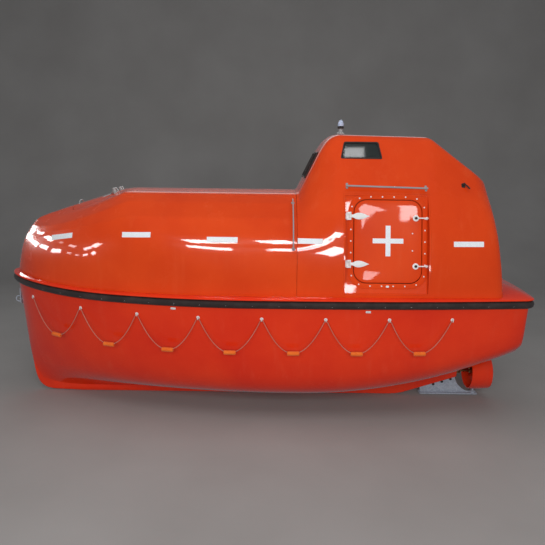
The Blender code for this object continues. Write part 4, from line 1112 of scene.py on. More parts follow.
def wheelhouse_side(station, base_z):
    x, lean, base_y, shoulder_y, shoulder_z, crease_y, crease_z, edge_y, edge_z, crown_z = station
    side = [(base_y, base_z), (base_y, 0.765), (base_y - 0.012, 0.985), (shoulder_y, shoulder_z)]
    chord = Vector((crease_y - shoulder_y, crease_z - shoulder_z))
    out = Vector((chord.y, -chord.x)).normalized()
    for part, bulge in BULGE:
        point = Vector((shoulder_y, shoulder_z)) + chord * part + out * bulge
        side.append((point.x, point.y))
    side += [(crease_y, crease_z), (edge_y, edge_z)]
    leaned = [(x + lean * WALL_LEAN * (WALL_TOP_Z - z), y, z) for y, z in side]
    return leaned, (x + lean * WALL_LEAN * (WALL_TOP_Z - crown_z), 0.0, crown_z)


WALL_SHELF = 0.022  # the aft wall's centreline stands that far aft of its corners


def wheelhouse_grid(base_z):
    rows = []
    for station in WHEELHOUSE_STATIONS:
        side, crown = wheelhouse_side(station, base_z)
        rows.append(across(side, crown))
    middle = [(x + WALL_SHELF, 0.0, z) for x, _, z in side]
    rows.append(across(middle, crown))
    lengthwise = corner_mix(STATION_ROUND + [(0, 0)], 6, 4)
    girthwise = corner_mix(both_sides(HOUSE_ROUND, CROWN_ROUND))
    return np.einsum("bn,ak,nkc->bac", lengthwise, girthwise, np.array(rows))


def moulding(name, grid):
    """A skin thickened inwards to a moulding's wall."""
    bm = bmesh.new()
    skin(bm, grid.tolist())
    weld(bm, 0.0004, 0.0002)
    if max(bm.faces, key=lambda face: face.calc_center_median().z).normal.z < 0:
        bmesh.ops.reverse_faces(bm, faces=bm.faces)
    piece = object_of(name, bm, CANOPY, 35)
    solid = piece.modifiers.new("wall", "SOLIDIFY")
    solid.thickness = SHELL
    solid.offset = -1.0
    return apply_modifiers(piece)


def cutter(outline, low, high, place):
    """A prism that cuts or trims another piece."""
    bm = bmesh.new()
    add_prism(bm, outline, low, high, place)
    return from_bmesh("cutter", bm, CANOPY)


def plane_place(corner, along, up):
    """Place local (along, up, outward) points on a plane."""
    along = Vector(along).normalized()
    up = Vector(up)
    up = (up - along * up.dot(along)).normalized()
    out = along.cross(up)
    return lambda a, b, level: Vector(corner) + along * a + up * b + out * level


SIDE_PANE = [(0.050, 0.105), (0.460, 0.105), (0.425, 0.285), (0.088, 0.285)]
FRONT_PANE = [(0.045, 0.150), (0.330, 0.145), (0.330, 0.435), (0.045, 0.440)]
AFT_PANE = [(-0.30, 0.14), (0.30, 0.14), (0.28, 0.46), (-0.28, 0.46)]


def on_side(outline, side):
    """An outline drawn for the port side, or its mirror image for the starboard side."""
    return outline if side < 0 else [(-a, b) for a, b in reversed(outline)]


def side_window_plane(side):
    """Where a side window lies, and its outline."""
    x, crease_y, crease_z, edge_y, edge_z = ROOF_FORE[0], *ROOF_FORE[5:9]
    up = (0.0, side * (edge_y - crease_y), edge_z - crease_z)
    return plane_place((x, side * crease_y, crease_z), (-side, 0.0, 0.0), up), on_side(SIDE_PANE, side)


def front_window_plane(side):
    foot = Vector((FRONT_FOOT[0], 0.0, FRONT_FOOT[-1]))
    up = Vector((FRONT_TOP[0], 0.0, FRONT_TOP[-1])) - foot
    return plane_place(foot, (0.0, -1.0, 0.0), up), on_side(FRONT_PANE, side)


def aft_window_plane():
    top = Vector((ROOF_AFT[0], 0.0, ROOF_AFT[-1]))
    foot = Vector((SLOPE_FOOT[0] + WALL_LEAN * (WALL_TOP_Z - SLOPE_FOOT[-1]), 0.0, SLOPE_FOOT[-1]))
    return plane_place(foot, (0.0, 1.0, 0.0), top - foot), AFT_PANE


WINDOWS = {"aft_window": aft_window_plane()}
for side_sign, side_word in SIDES:
    WINDOWS[f"side_window_{side_word}"] = side_window_plane(side_sign)
    WINDOWS[f"front_window_{side_word}"] = front_window_plane(side_sign)


# Side hatches: the panel's plane

PANEL_X = (0.825, 1.670)
PANEL_BASE = (0.960, 0.745)  # half-breadth and height of its lower edge
PANEL_TILT = math.radians(12.2)
PANEL_HEIGHT = 0.990
PANEL_THICK = 0.022
PANEL_RIM = 0.014
DOOR_X = (0.932, 1.595)
DOOR_W = (0.118, 0.930)
DOOR_RADIUS = 0.120
DOOR_CORNER_STEPS = 10
DOOR_THICK = 0.034
DOOR_PROUD = 0.010
RUN = 0.006
HINGE_X = 0.893
HINGE_OUT = 0.022
HINGE_W = (0.300, 0.770)
DOG_X = 1.535
DOG_W = (0.283, 0.755)


def on_panel(side):
    """Place local (x, up-slope, outward) points on a side hatch's panel."""
    sine, cosine = math.sin(PANEL_TILT), math.cos(PANEL_TILT)

    def place(x, up, out):
        y = PANEL_BASE[0] + out * cosine - up * sine
        return Vector((x, side * y, PANEL_BASE[1] + out * sine + up * cosine))

    return place


def panel_outline(margin):
    return rectangle((PANEL_X[0] - margin, PANEL_X[1] + margin), (-margin, PANEL_HEIGHT + margin))


def panel_piece(side, outline, low, high):
    return cutter(outline, low, high, on_panel(side))


AFT_HATCH_HALF = 0.300
AFT_HATCH_Z = (0.82, 1.62)


def aft_wall_x(z):
    return WHEELHOUSE_STATIONS[-1][0] + WALL_SHELF + WALL_LEAN * (WALL_TOP_Z - z)


def aft_hatch_place():
    foot = Vector((aft_wall_x(AFT_HATCH_Z[0]), 0.0, AFT_HATCH_Z[0]))
    top = Vector((aft_wall_x(AFT_HATCH_Z[1]), 0.0, AFT_HATCH_Z[1]))
    return plane_place(foot, (0.0, 1.0, 0.0), top - foot), (top - foot).length


def aft_hatch_outline(margin):
    tall = aft_hatch_place()[1]
    reach = AFT_HATCH_HALF + margin
    return rounded_outline((-reach, reach), (-margin, tall + margin), 0.10 + margin)


BOW_HATCH_X = (-2.08, -1.60)
BOW_HATCH_HALF = 0.235
BOW_HATCH_CORNER = 0.080
BOW_CUTTER_Z = (1.20, 1.60, 2.00)
BOW_HINGE_X = -1.590


def bow_hatch_cutter(margin):
    """A rounded prism, square to the canopy's slope, that holds the bow hatch."""
    low_x, high_x = BOW_HATCH_X
    reach = BOW_HATCH_HALF + margin
    outline = rounded_outline((low_x - margin, high_x + margin), (-reach, reach), BOW_HATCH_CORNER + margin)
    slope = (crown_height(high_x) - crown_height(low_x)) / (high_x - low_x)
    low, middle, high = BOW_CUTTER_Z
    return cutter(outline, low, high, lambda x, y, z: (x - (z - middle) * slope, y, z))


MOULDING_GAP = 0.0015  # between each moulding's end and the joint
FAR_Y = (-2, 2)
HOUSE_BASE_Z = CANOPY_BASE_Z - 0.012  # the grid starts lower, and is trimmed at the deck
WINDOW_CUT = 0.15
PANEL_CLEARANCE = 0.0008


def make_canopy():
    canopy = moulding("canopy_skin", canopy_grid())
    cut(canopy, cutter(rectangle((JOINT_X - MOULDING_GAP, 1.5), FAR_Y), -1, 3, from_above))
    cut(canopy, bow_hatch_cutter(RUN))
    return show(shade(canopy, 40), "boat", "fore_canopy", slot="canopy_gelcoat")


def house_solid():
    """The wheelhouse as one solid, which trims what is fitted into its side."""
    bm = bmesh.new()
    rows = skin(bm, wheelhouse_grid(HOUSE_BASE_Z).tolist(), wrap=True)
    bm.faces.new(rows[0])
    return from_bmesh("house_solid", bm, CANOPY)


def make_wheelhouse():
    house = moulding("wheelhouse_skin", wheelhouse_grid(HOUSE_BASE_Z))
    cut(house, cutter(rectangle((-1, JOINT_X + MOULDING_GAP), FAR_Y), -1, 3, from_above))
    cut(house, cutter(rectangle((-1, 3.5), FAR_Y), 0, CANOPY_BASE_Z, from_above))
    for side, _ in SIDES:
        cut(house, panel_piece(side, panel_outline(PANEL_CLEARANCE), -0.16, 0.30))
    for place, outline in WINDOWS.values():
        cut(house, cutter(outline, -WINDOW_CUT, WINDOW_CUT, place))
    cut(house, cutter(aft_hatch_outline(RUN), -WINDOW_CUT, WINDOW_CUT, aft_hatch_place()[0]))
    return show(shade(house, 40), "boat", "wheelhouse", slot="canopy_gelcoat")


canopy_skin = make_canopy()
wheelhouse_skin = make_wheelhouse()


def surface_of(*objects):
    """A tree to cast rays at, made of what some pieces look like now."""
    bpy.context.view_layer.update()
    bm = bmesh.new()
    for piece in objects:
        mesh = piece.data.copy()
        mesh.transform(piece.matrix_world)
        bm.from_mesh(mesh)
    tree = BVHTree.FromBMesh(bm)
    bm.free()
    return tree


SKIN = surface_of(canopy_skin, wheelhouse_skin)
SHELL_SIDE = surface_of(hull_skin)


def side_hit(tree, side, x, z):
    """Where a level ray from that side meets the boat at x and z, and the surface's direction there."""
    point, normal, _, _ = tree.ray_cast(Vector((x, side * 3.0, z)), Vector((0, -side, 0)))
    return point, normal


# Reflective tapes

TAPE_LENGTH = 0.300
TAPE_WIDTH = 0.050
TAPE_THICK = 0.0006
TAPE_LIFT = 0.0004  # of the tape's back off the gelcoat
TAPE_COLUMNS = 24
TAPE_ROWS = 4
TAPES = [
    # middle along the boat, its height, how much higher the aft end is
    (-2.05, 1.228, 0.045),
    (-1.210, 1.292, 0.010),
    (-0.355, 1.265, 0.0),
    (0.470, 1.262, 0.0),
    (2.043, 1.248, 0.0),
]
FEELER_STEP = 0.004
FEELER_REACH = 70  # steps each way from a tape's middle


def travel_along(side, middle_x, z):
    """How far along the surface each step from a tape's middle lies, and the step, from fore to aft."""
    travel = {0: 0.0}
    for direction in (-1, 1):
        before = side_hit(SKIN, side, middle_x, z)[0]
        for i in range(1, FEELER_REACH + 1):
            step = direction * i
            here = side_hit(SKIN, side, middle_x + step * FEELER_STEP, z)[0]
            if here is None:
                break
            travel[step] = travel[step - direction] + direction * (here - before).length
            before = here
    places = sorted((along, step) for step, along in travel.items())
    return [along for along, _ in places], [step for _, step in places]


def tape_strip(bm, side, middle_x, middle_z, climb):
    """A strip of tape that follows the canopy's surface."""
    travel, steps = travel_along(side, middle_x, middle_z)
    rows = []
    for k in range(TAPE_COLUMNS + 1):
        share = k / TAPE_COLUMNS - 0.5
        x = middle_x + FEELER_STEP * float(np.interp(TAPE_LENGTH * share, travel, steps))
        outer, inner = [], []
        for m in range(TAPE_ROWS + 1):
            z = middle_z + TAPE_WIDTH * (m / TAPE_ROWS - 0.5) + climb * share
            point, normal = side_hit(SKIN, side, x, z)
            outer.append(point + normal * (TAPE_THICK + TAPE_LIFT))
            inner.append(point + normal * TAPE_LIFT)
        rows.append(outer + inner[::-1])
    close_ends(bm, skin(bm, rows, wrap=True))


def make_tapes():
    for side, word in SIDES:
        bm = bmesh.new()
        for tape in TAPES:
            tape_strip(bm, side, *tape)
        piece_of(f"reflective_tapes_{word}", bm, TAPE, "boat", merge=FINE_WELD)


make_tapes()

# Windows

PANE_CORNER_STEPS = 4


def inset_outline(outline, margin):
    middle = [sum(p[k] for p in outline) / len(outline) for k in (0, 1)]
    return [tuple(p[k] - margin * math.copysign(1, p[k] - middle[k]) for k in (0, 1)) for p in outline]


def round_corners(outline, radius):
    """Replace each corner of an outline by an arc-like curve."""
    made = []
    count = len(outline)
    for i in range(count):
        before, corner, after = (Vector((*outline[j % count], 0)) for j in (i - 1, i, i + 1))
        start = corner + (before - corner).normalized() * radius
        end = corner + (after - corner).normalized() * radius
        for k in range(PANE_CORNER_STEPS + 1):
            t = k / PANE_CORNER_STEPS
            point = start * (1 - t) ** 2 + corner * 2 * t * (1 - t) + end * t * t
            made.append((point.x, point.y))
    return made


GASKET_RINGS = [
    # inset from the opening's edge, corner radius, level
    (-0.006, 0.022, -0.004),
    (-0.006, 0.022, 0.0008),
    (-0.004, 0.021, 0.0020),
    (0.005, 0.020, 0.0020),
    (0.008, 0.020, 0.0),
    (0.008, 0.020, -0.0075),
]


def paint_node(name, finish):
    """Give a node that shows its own shape its finish."""
    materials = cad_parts[name].data.materials
    materials.clear()
    materials.append(finish)


def make_windows():
    for name, (place, outline) in WINDOWS.items():
        paint_node(name, GLASS)
        rings = []
        for inset, radius, level in GASKET_RINGS:
            rings.append((round_corners(inset_outline(outline, inset), radius), level))
        bm = bmesh.new()
        add_frame(bm, rings, place)
        piece_of(f"{name}_gasket", bm, RUBBER, "boat")


make_windows()

# Side hatches

LEAF_LAYERS = [
    # inset from the leaf's edge, level above the panel
    (0.004, DOOR_PROUD - DOOR_THICK),
    (0.000, DOOR_PROUD - DOOR_THICK + 0.004),
    (0.000, 0.0040),
    (0.0012, 0.0072),
    (0.0045, 0.0094),
    (0.012, 0.0104),
    (0.035, 0.0124),
    (0.070, 0.0142),
    (0.120, 0.0150),
]
LEAF_FACE = LEAF_LAYERS[-1][1]
FLANGE_REACH = 0.058
FLANGE_RINGS = [
    # margin outside the leaf, level above the panel
    (FLANGE_REACH, -0.001),
    (FLANGE_REACH, 0.0030),
    (FLANGE_REACH - 0.0015, 0.0042),
    (FLANGE_REACH - 0.0040, 0.0048),
    (RUN + 0.0050, 0.0085),
    (RUN + 0.0020, 0.0075),
    (RUN, 0.0035),
    (RUN, -0.0010),
]
SEAL_RINGS = [(RUN + 0.002, -0.0340), (RUN + 0.002, -0.0285), (0.002, -0.0255), (-0.010, -0.0255)]
SEAL_RINGS += [(-0.012, -0.0340)]
BOLT_REACH = 0.032  # from the leaf's edge to the flange's bolts
BOLT_COUNT = 26
BOLT_FIRST = 0.050
CROSS_LENGTH = 0.300
CROSS_WIDTH = 0.048
MARK_BOLTS_W = (0.435, 0.605)
STRAP_LENGTH = 0.190
STRAP_HALF_WIDTHS = [(0.012, 0.014), (0.030, 0.016), (0.054, 0.028), (0.088, 0.033), (0.128, 0.025)]
STRAP_HALF_WIDTHS += [(0.164, 0.010)]
STRAP_ROOT = [(0.0, -0.0190), (0.016, -0.0150), (0.016, 0.0150), (0.0, 0.0190)]
STRAP_BOLTS = [(0.062, 0.013), (0.062, -0.013), (0.108, 0.0)]
KNUCKLE_RADIUS = 0.010
STRAP_BARREL = rod(-0.0195, 0.0195, KNUCKLE_RADIUS)
PLATE_KNUCKLE = rod(-0.0095, 0.0095, KNUCKLE_RADIUS)
PLATE_OFFSET = 0.030
DOG_DISC = [(-0.003, 0.0), (-0.003, 0.031), (0.003, 0.031), (0.0055, 0.029), (0.0065, 0.024), (0.0065, 0.0)]
DOG_BOSS = [(0.0, 0.0), (0.0, 0.0135), (0.012, 0.0130), (0.020, 0.0105), (0.0235, 0.0060), (0.0235, 0.0)]
DOG_ROD = [(0.004, 0.0250), (0.045, 0.0260), (0.085, 0.0265), (0.112, 0.0262), (0.118, 0.0240)]
DOG_SCREW_REACH = 0.022
DOG_SCREW_ANGLES = (2.2, 4.1)
CATCH_X = (DOG_X + 0.098, DOG_X + 0.116)
STOP_X = (1.245, 1.275)


def door_outline(inset):
    along = (DOOR_X[0] + inset, DOOR_X[1] - inset)
    up = (DOOR_W[0] + inset, DOOR_W[1] - inset)
    return rounded_outline(along, up, DOOR_RADIUS - inset * 0.9, DOOR_CORNER_STEPS)


def panel_axes(side):
    """The directions up and out of a side hatch's panel."""
    place = on_panel(side)
    return place(0, 1, 0) - place(0, 0, 0), place(0, 0, 1) - place(0, 0, 0)


def even_places(outline, count, first):
    """Points at even steps round a closed outline."""
    loop = [Vector((a, b, 0.0)) for a, b in outline]
    length = sum((q - p).length for p, q in zip(loop, loop[1:] + loop[:1]))
    return [(p.x, p.y) for p, _ in spaced(loop, length / count, first)][:count]


def make_leaf(side, word):
    bm = bmesh.new()
    add_layers(bm, [(door_outline(inset), level) for inset, level in LEAF_LAYERS], on_panel(side))
    piece_of(f"hatch_leaf_{word}", bm, CANOPY, f"{word}_hatch", f"side_hatch_{word}", angle=50)


def strap_outline(up):
    half = [(HINGE_X + a, b) for a, b in STRAP_HALF_WIDTHS]
    smooth = flat_curve(half + [(HINGE_X + STRAP_LENGTH, 0.0)], 4)
    upper = [(a, up + b) for a, b in smooth]
    lower = [(a, up - b) for a, b in reversed(smooth[:-1])]
    return upper + lower


def make_hinges(side, word):
    """Pointed straps on the leaf, and round-ended plates with knuckles on the panel."""
    place = on_panel(side)
    upward, outward = panel_axes(side)
    straps, plates = bmesh.new(), bmesh.new()
    for up in HINGE_W:
        add_prism(straps, strap_outline(up), 0.0100, HINGE_OUT - 0.0010, place)
        add_turned(straps, STRAP_BARREL, place(HINGE_X, up, HINGE_OUT), upward, 20)
        root = [(HINGE_X + a, up + b) for a, b in STRAP_ROOT]
        add_prism(straps, root, HINGE_OUT - 0.0090, HINGE_OUT - 0.0015, place)
        heads = [place(HINGE_X + a, up + b, HINGE_OUT - 0.001) for a, b in STRAP_BOLTS]
        add_bolts(straps, outward, heads, 0.0060, 0.0030)
        plate = rounded_outline((HINGE_X - 0.046, HINGE_X - 0.006), (up - 0.040, up + 0.040), 0.019, 6)
        add_prism(plates, plate, -0.001, 0.0105, place)
        for middle in (up - PLATE_OFFSET, up + PLATE_OFFSET):
            add_turned(plates, PLATE_KNUCKLE, place(HINGE_X, middle, HINGE_OUT), upward, 20)
            web = rectangle((HINGE_X - 0.030, HINGE_X), (middle - 0.009, middle + 0.009))
            add_prism(plates, web, 0.006, HINGE_OUT + 0.004, place)
            add_bolts(plates, outward, [place(HINGE_X - 0.034, middle, 0.0105)], 0.0065, 0.0035)
    piece_of(f"hinge_straps_{word}", straps, POLISHED, f"{word}_hatch", angle=35, rounding=(0.0016, 40))
    piece_of(f"hinge_plates_{word}", plates, POLISHED, "boat", angle=35, rounding=(0.0016, 40))


def make_dogs(side, word):
    """Two dogs a side: a round plate, a dark boss and a rod that reaches over the frame."""
    place = on_panel(side)
    _, out = panel_axes(side)
    bright, dark = bmesh.new(), bmesh.new()
    for up in DOG_W:
        add_turned(bright, DOG_DISC, place(DOG_X, up, LEAF_FACE - 0.001), out, 32)
        add_turned(dark, DOG_BOSS, place(DOG_X, up, LEAF_FACE + 0.005), out, 24)
        bar = [place(DOG_X + a, up, level) for a, level in DOG_ROD]
        add_tube(bright, catmull(bar, 5), 0.0065, 12)
        spots = [(math.cos(angle), math.sin(angle)) for angle in DOG_SCREW_ANGLES]
        screws = [
            place(DOG_X + DOG_SCREW_REACH * a, up + DOG_SCREW_REACH * b, LEAF_FACE + 0.005) for a, b in spots
        ]
        add_bolts(bright, out, screws, 0.004, 0.002)
    piece_of(f"dog_plates_{word}", bright, POLISHED, f"{word}_hatch")
    piece_of(f"dog_bosses_{word}", dark, DARK, f"{word}_hatch", slot="black_rubber")


def make_leaf_marks(side, word):
    """The cross of tape in the middle of the leaf, and the two bolts beside it."""
    place = on_panel(side)
    middle_x, middle_w = sum(DOOR_X) / 2, sum(DOOR_W) / 2 + 0.005
    reach, half = CROSS_LENGTH / 2, CROSS_WIDTH / 2
    quarter = [(reach, half), (half, half), (half, reach)]
    outline = []
    for turn in range(4):
        cosine, sine = round(math.cos(turn * math.pi / 2)), round(math.sin(turn * math.pi / 2))
        outline += [(middle_x + a * cosine - b * sine, middle_w + a * sine + b * cosine) for a, b in quarter]
    bm = bmesh.new()
    add_prism(bm, outline, LEAF_FACE + 0.0003, LEAF_FACE + 0.0011, place)
    piece_of(f"hatch_cross_{word}", bm, TAPE, f"{word}_hatch")
    bm = bmesh.new()
    _, out = panel_axes(side)
    add_bolts(bm, out, [place(DOG_X - 0.032, up, LEAF_FACE - 0.0006) for up in MARK_BOLTS_W], 0.0075, 0.0045)
    piece_of(f"leaf_bolts_{word}", bm, POLISHED, f"{word}_hatch")


def make_panel(side, word):
    """The recessed panel with its returns."""
    panel = panel_piece(side, panel_outline(0.0), -PANEL_THICK, 0.20)
    cut(panel, panel_piece(side, panel_outline(-PANEL_RIM), 0.0, 0.30))
    boolean(panel, house_solid(), "INTERSECT")
    cut(panel, panel_piece(side, door_outline(-RUN), -0.10, 0.10))
    panel.name = f"hatch_panel_{word}"
    show(shade(panel, 30), "boat", f"hatch_frame_{word}", slot="canopy_gelcoat")


def make_flange(side, word):
    bm = bmesh.new()
    add_frame(bm, [(door_outline(-margin), level) for margin, level in FLANGE_RINGS], on_panel(side))
    piece_of(f"hatch_flange_{word}", bm, CANOPY, "boat", f"hatch_frame_{word}", angle=50)


def make_flange_bolts(side, word):
    """The flange's bolts, the catches of the dogs and the stop under the leaf."""
    place = on_panel(side)
    _, out = panel_axes(side)
    spots = [
        spot
        for spot in even_places(door_outline(-BOLT_REACH), BOLT_COUNT, BOLT_FIRST)
        if not any(spot[0] < HINGE_X + 0.02 and abs(spot[1] - up) < 0.055 for up in HINGE_W)
    ]
    bm = bmesh.new()
    add_bolts(bm, out, [place(*spot, 0.0064) for spot in spots], 0.0080, 0.0050, 12)
    for up in DOG_W:
        add_prism(bm, rectangle(CATCH_X, (up - 0.013, up + 0.013)), 0.0060, 0.0185, place)
    stop = rounded_outline(STOP_X, (DOOR_W[0] - 0.046, DOOR_W[0] - 0.026), 0.006, 4)
    add_prism(bm, stop, 0.0060, 0.0240, place)
    piece_of(f"flange_bolts_{word}", bm, POLISHED, "boat", angle=35, rounding=(0.0010, 50))


def make_seal(side, word):
    bm = bmesh.new()
    add_frame(bm, [(door_outline(-margin), level) for margin, level in SEAL_RINGS], on_panel(side))
    piece_of(f"hatch_seal_{word}", bm, RUBBER, "boat")


for side_sign, side_word in SIDES:
    make_leaf(side_sign, side_word)
    make_hinges(side_sign, side_word)
    make_dogs(side_sign, side_word)
    make_leaf_marks(side_sign, side_word)
    make_panel(side_sign, side_word)
    make_flange(side_sign, side_word)
    make_flange_bolts(side_sign, side_word)
    make_seal(side_sign, side_word)

# Bow hatch and aft hatch

PIVOT_LIFT = 0.016
BOW_STRAP_Y = (-0.13, 0.13)
BOW_STRAP_REACHES = (0.0, 0.020, 0.045, 0.085, 0.130)
BOW_STRAP_CORNERS = [
    # across, above the roof, below the pivot
    (-0.018, 0.0045, 0.004),
    (0.018, 0.0045, 0.004),
    (0.018, -0.0020, 0.006),
    (-0.018, -0.0020, 0.006),
]
BOW_KNUCKLE_Y = (-0.175, -0.085, 0.085, 0.175)
BOW_HANDLE_X = BOW_HATCH_X[0] + 0.075
BOW_HANDLE_LENGTH = 0.150
BOW_HANDLE_LIFT = 0.034


def roof_tree():
    """The canopy's outer surface, without its hatch's hole."""
    bm = bmesh.new()
    skin(bm, canopy_grid().tolist())
    tree = BVHTree.FromBMesh(bm)
    bm.free()
    return tree


ROOF = roof_tree()


def roof_height(x, y):
    return ROOF.ray_cast(Vector((x, y, 3.0)), Vector((0, 0, -1)))[0].z


def bow_strap_row(reach, y, pivot_z):
    """Four corners of a strap that runs down from the pivot onto the roof."""
    x = BOW_HINGE_X - reach
    near = max(0.0, 1.0 - reach / 0.045)
    row = []
    for offset, above, below in BOW_STRAP_CORNERS:
        roof = roof_height(x, y + offset)
        row.append((x, y + offset, roof + above + max(0.0, pivot_z - below - roof) * near))
    return row


def make_bow_fittings(pivot):
    """The lid's straps and its handle."""
    bm = bmesh.new()
    for y in BOW_STRAP_Y:
        add_turned(bm, rod(-0.022, 0.022, 0.010), pivot + Vector((0, y, 0)), (0, 1, 0), 20)
        rows = [bow_strap_row(reach, y, pivot.z) for reach in BOW_STRAP_REACHES]
        close_ends(bm, skin(bm, rows, wrap=True))
    for y in BOW_STRAP_Y:
        tops = [(BOW_HINGE_X - a, y + b) for a in (0.070, 0.110) for b in (-0.009, 0.009)]
        heads = [Vector((a, b, roof_height(a, b) + 0.0050)) for a, b in tops]
        add_bolts(bm, (0, 0, 1), heads, 0.0050, 0.0025)
    handle = []
    for part in (0.0, 0.12, 0.25, 0.5, 0.75, 0.88, 1.0):
        y = BOW_HANDLE_LENGTH * (part - 0.5)
        lift = BOW_HANDLE_LIFT * min(1.0, 6.0 * part, 6.0 * (1.0 - part)) - 0.004
        handle.append((BOW_HANDLE_X, y, roof_height(BOW_HANDLE_X, y) + lift))
    add_tube(bm, catmull(handle, 5), 0.0065, 12)
    piece_of("bow_hatch_fittings", bm, STEEL, "bow_lid")


def make_bow_hatch():
    lid = moulding("bow_hatch_lid", canopy_grid())
    boolean(lid, bow_hatch_cutter(0.0), "INTERSECT")
    show(shade(lid, 40), "bow_lid", "bow_hatch", slot="canopy_gelcoat")
    pivot = Vector((BOW_HINGE_X, 0.0, crown_height(BOW_HINGE_X) + PIVOT_LIFT))
    make_bow_fittings(pivot)
    bm = bmesh.new()
    for y in BOW_KNUCKLE_Y:
        add_turned(bm, rod(-0.020, 0.020, 0.010), pivot + Vector((0, y, 0)), (0, 1, 0), 20)
        foot = [(BOW_HINGE_X - 0.004, pivot.z), (BOW_HINGE_X + 0.010, pivot.z)]
        foot += [(x, roof_height(x, y) - 0.006) for x in (BOW_HINGE_X + 0.034, BOW_HINGE_X + 0.004)]
        add_prism(bm, foot, y - 0.016, y + 0.016, from_side)
    piece_of("bow_hatch_knuckles", bm, STEEL, "boat", angle=35, rounding=(0.001, 40))


make_bow_hatch()

AFT_HINGE_Y = 0.330
AFT_HINGE_Z = (1.02, 1.42)
AFT_HINGE_OUT = 0.030
AFT_KNUCKLE_OFFSETS = (-0.036, 0.036)
AFT_PROUD = 0.012
AFT_THICK = 0.036
AFT_LAYERS = [
    # margin outside the leaf's edge, level above the wall
    (-0.004, AFT_PROUD - AFT_THICK),
    (0.0, AFT_PROUD - AFT_THICK + 0.004),
    (0.0, 0.0060),
    (-0.0015, 0.0090),
    (-0.0050, 0.0110),
    (-0.030, 0.0118),
    (-0.045, 0.0075),
    (-0.075, 0.0075),
    (-0.090, 0.0118),
]
AFT_LEVER_Y = -0.215
AFT_LEVER_BOSS = [(0.005, 0), (0.005, 0.034), (0.014, 0.032), (0.018, 0.018), (0.034, 0.014), (0.034, 0)]
AFT_LEVER = [(0.0, 0.028), (-0.03, 0.032), (-0.08, 0.034), (-0.13, 0.033)]


def make_aft_hatch():
    place, tall = aft_hatch_place()
    out = place(0, 0, 1) - place(0, 0, 0)
    bm = bmesh.new()
    add_layers(bm, [(aft_hatch_outline(margin), level) for margin, level in AFT_LAYERS], place)
    piece_of("aft_hatch_leaf", bm, CANOPY, "aft_lid", "aft_hatch")
    bm = bmesh.new()
    knuckles = bmesh.new()
    lean = Vector((-WALL_LEAN, 0.0, 1.0)).normalized()
    for z in AFT_HINGE_Z:
        pivot = Vector((aft_wall_x(z) + AFT_HINGE_OUT, AFT_HINGE_Y, z))
        add_turned(bm, rod(-0.021, 0.021, 0.010), pivot, lean, 20)
        add_box(bm, pivot + Vector((-0.0215, -0.128, -0.018)), pivot + Vector((0.002, 0.0, 0.018)))
        for offset in AFT_KNUCKLE_OFFSETS:
            centre = pivot + lean * offset
            add_turned(knuckles, rod(-0.014, 0.014, 0.010), centre, lean, 20)
            low, high = Vector((-0.036, -0.004, -0.013)), Vector((0.002, 0.030, 0.013))
            add_box(knuckles, centre + low, centre + high)
    middle = tall / 2
    add_turned(bm, AFT_LEVER_BOSS, place(AFT_LEVER_Y, middle, 0), out, 28)
    lever = [place(AFT_LEVER_Y, middle + b, level) for b, level in AFT_LEVER]
    add_tube(bm, catmull(lever, 5), 0.0075, 12)
    piece_of("aft_hatch_fittings", bm, POLISHED, "aft_lid", angle=35, rounding=(0.0012, 45))
    piece_of("aft_hatch_knuckles", knuckles, POLISHED, "boat", angle=35, rounding=(0.0012, 45))


make_aft_hatch()

# Rails, lamp, eyes and small fittings

def on_surface(tree, side, x, z):
    """A place function for (aft, up, outward) points on the boat's skin at x and z, and the way out."""
    point, normal = side_hit(tree, side, x, z)
    along = (Vector((1, 0, 0)) - normal * normal.x).normalized()
    up = along.cross(normal) * side
    if up.z < 0:
        up = -up
    return lambda a, b, level: point + along * a + up * b + normal * level, normal


RAIL_ENDS = ((0.855, 1.792), (1.645, 1.775))  # along the boat and height
RAIL_Y = 0.765
RAIL_STEPS = 12
RAIL_OVERHANG = 0.004  # of the bar past its ends
RAIL_RADIUS = 0.0095
RAIL_LEG_INSET = 0.006
RAIL_LEG_RADIUS = 0.0085
RAIL_PLATE = rounded_plate(0.012, 0.032, 0.011, 5)


def make_handrail(side, word):
    bm = bmesh.new()
    (fore_x, fore_z), (aft_x, aft_z) = RAIL_ENDS
    fore = Vector((fore_x - RAIL_OVERHANG, side * RAIL_Y, fore_z))
    aft = Vector((aft_x + RAIL_OVERHANG, side * RAIL_Y, aft_z))
    add_tube(bm, [fore.lerp(aft, k / RAIL_STEPS) for k in range(RAIL_STEPS + 1)], RAIL_RADIUS, 16)
    for x, z in ((fore_x + RAIL_LEG_INSET, fore_z), (aft_x - RAIL_LEG_INSET, aft_z)):
        place, out = on_surface(SKIN, side, x, z - 0.004)
        add_prism(bm, RAIL_PLATE, -0.001, 0.0040, place)
        add_bolts(bm, out, [place(0.0, up, 0.0038) for up in (-0.022, 0.022)], 0.0060, 0.0036)
        add_tube(bm, [place(0, 0, 0.002), Vector((x, side * RAIL_Y, z))], RAIL_LEG_RADIUS)
    piece_of(f"handrail_bar_{word}", bm, STEEL, "boat", f"handrail_{word}", angle=35, rounding=(0.001, 50))


GRAB_RAIL_X = 0.335
GRAB_RAIL_RADIUS = 0.0075
GRAB_RAIL_BENDS = [
    # line of the canopy, distance out, degrees from upright
    (6, 0.045, 35),
    (5, 0.050, 45),
    (4, 0.050, 60),
    (3, 0.045, 70),
]
GRAB_RAIL_FOOT = [(-0.002, 0), (-0.002, 0.019), (0.010, 0.018), (0.012, 0.012), (0.012, 0)]


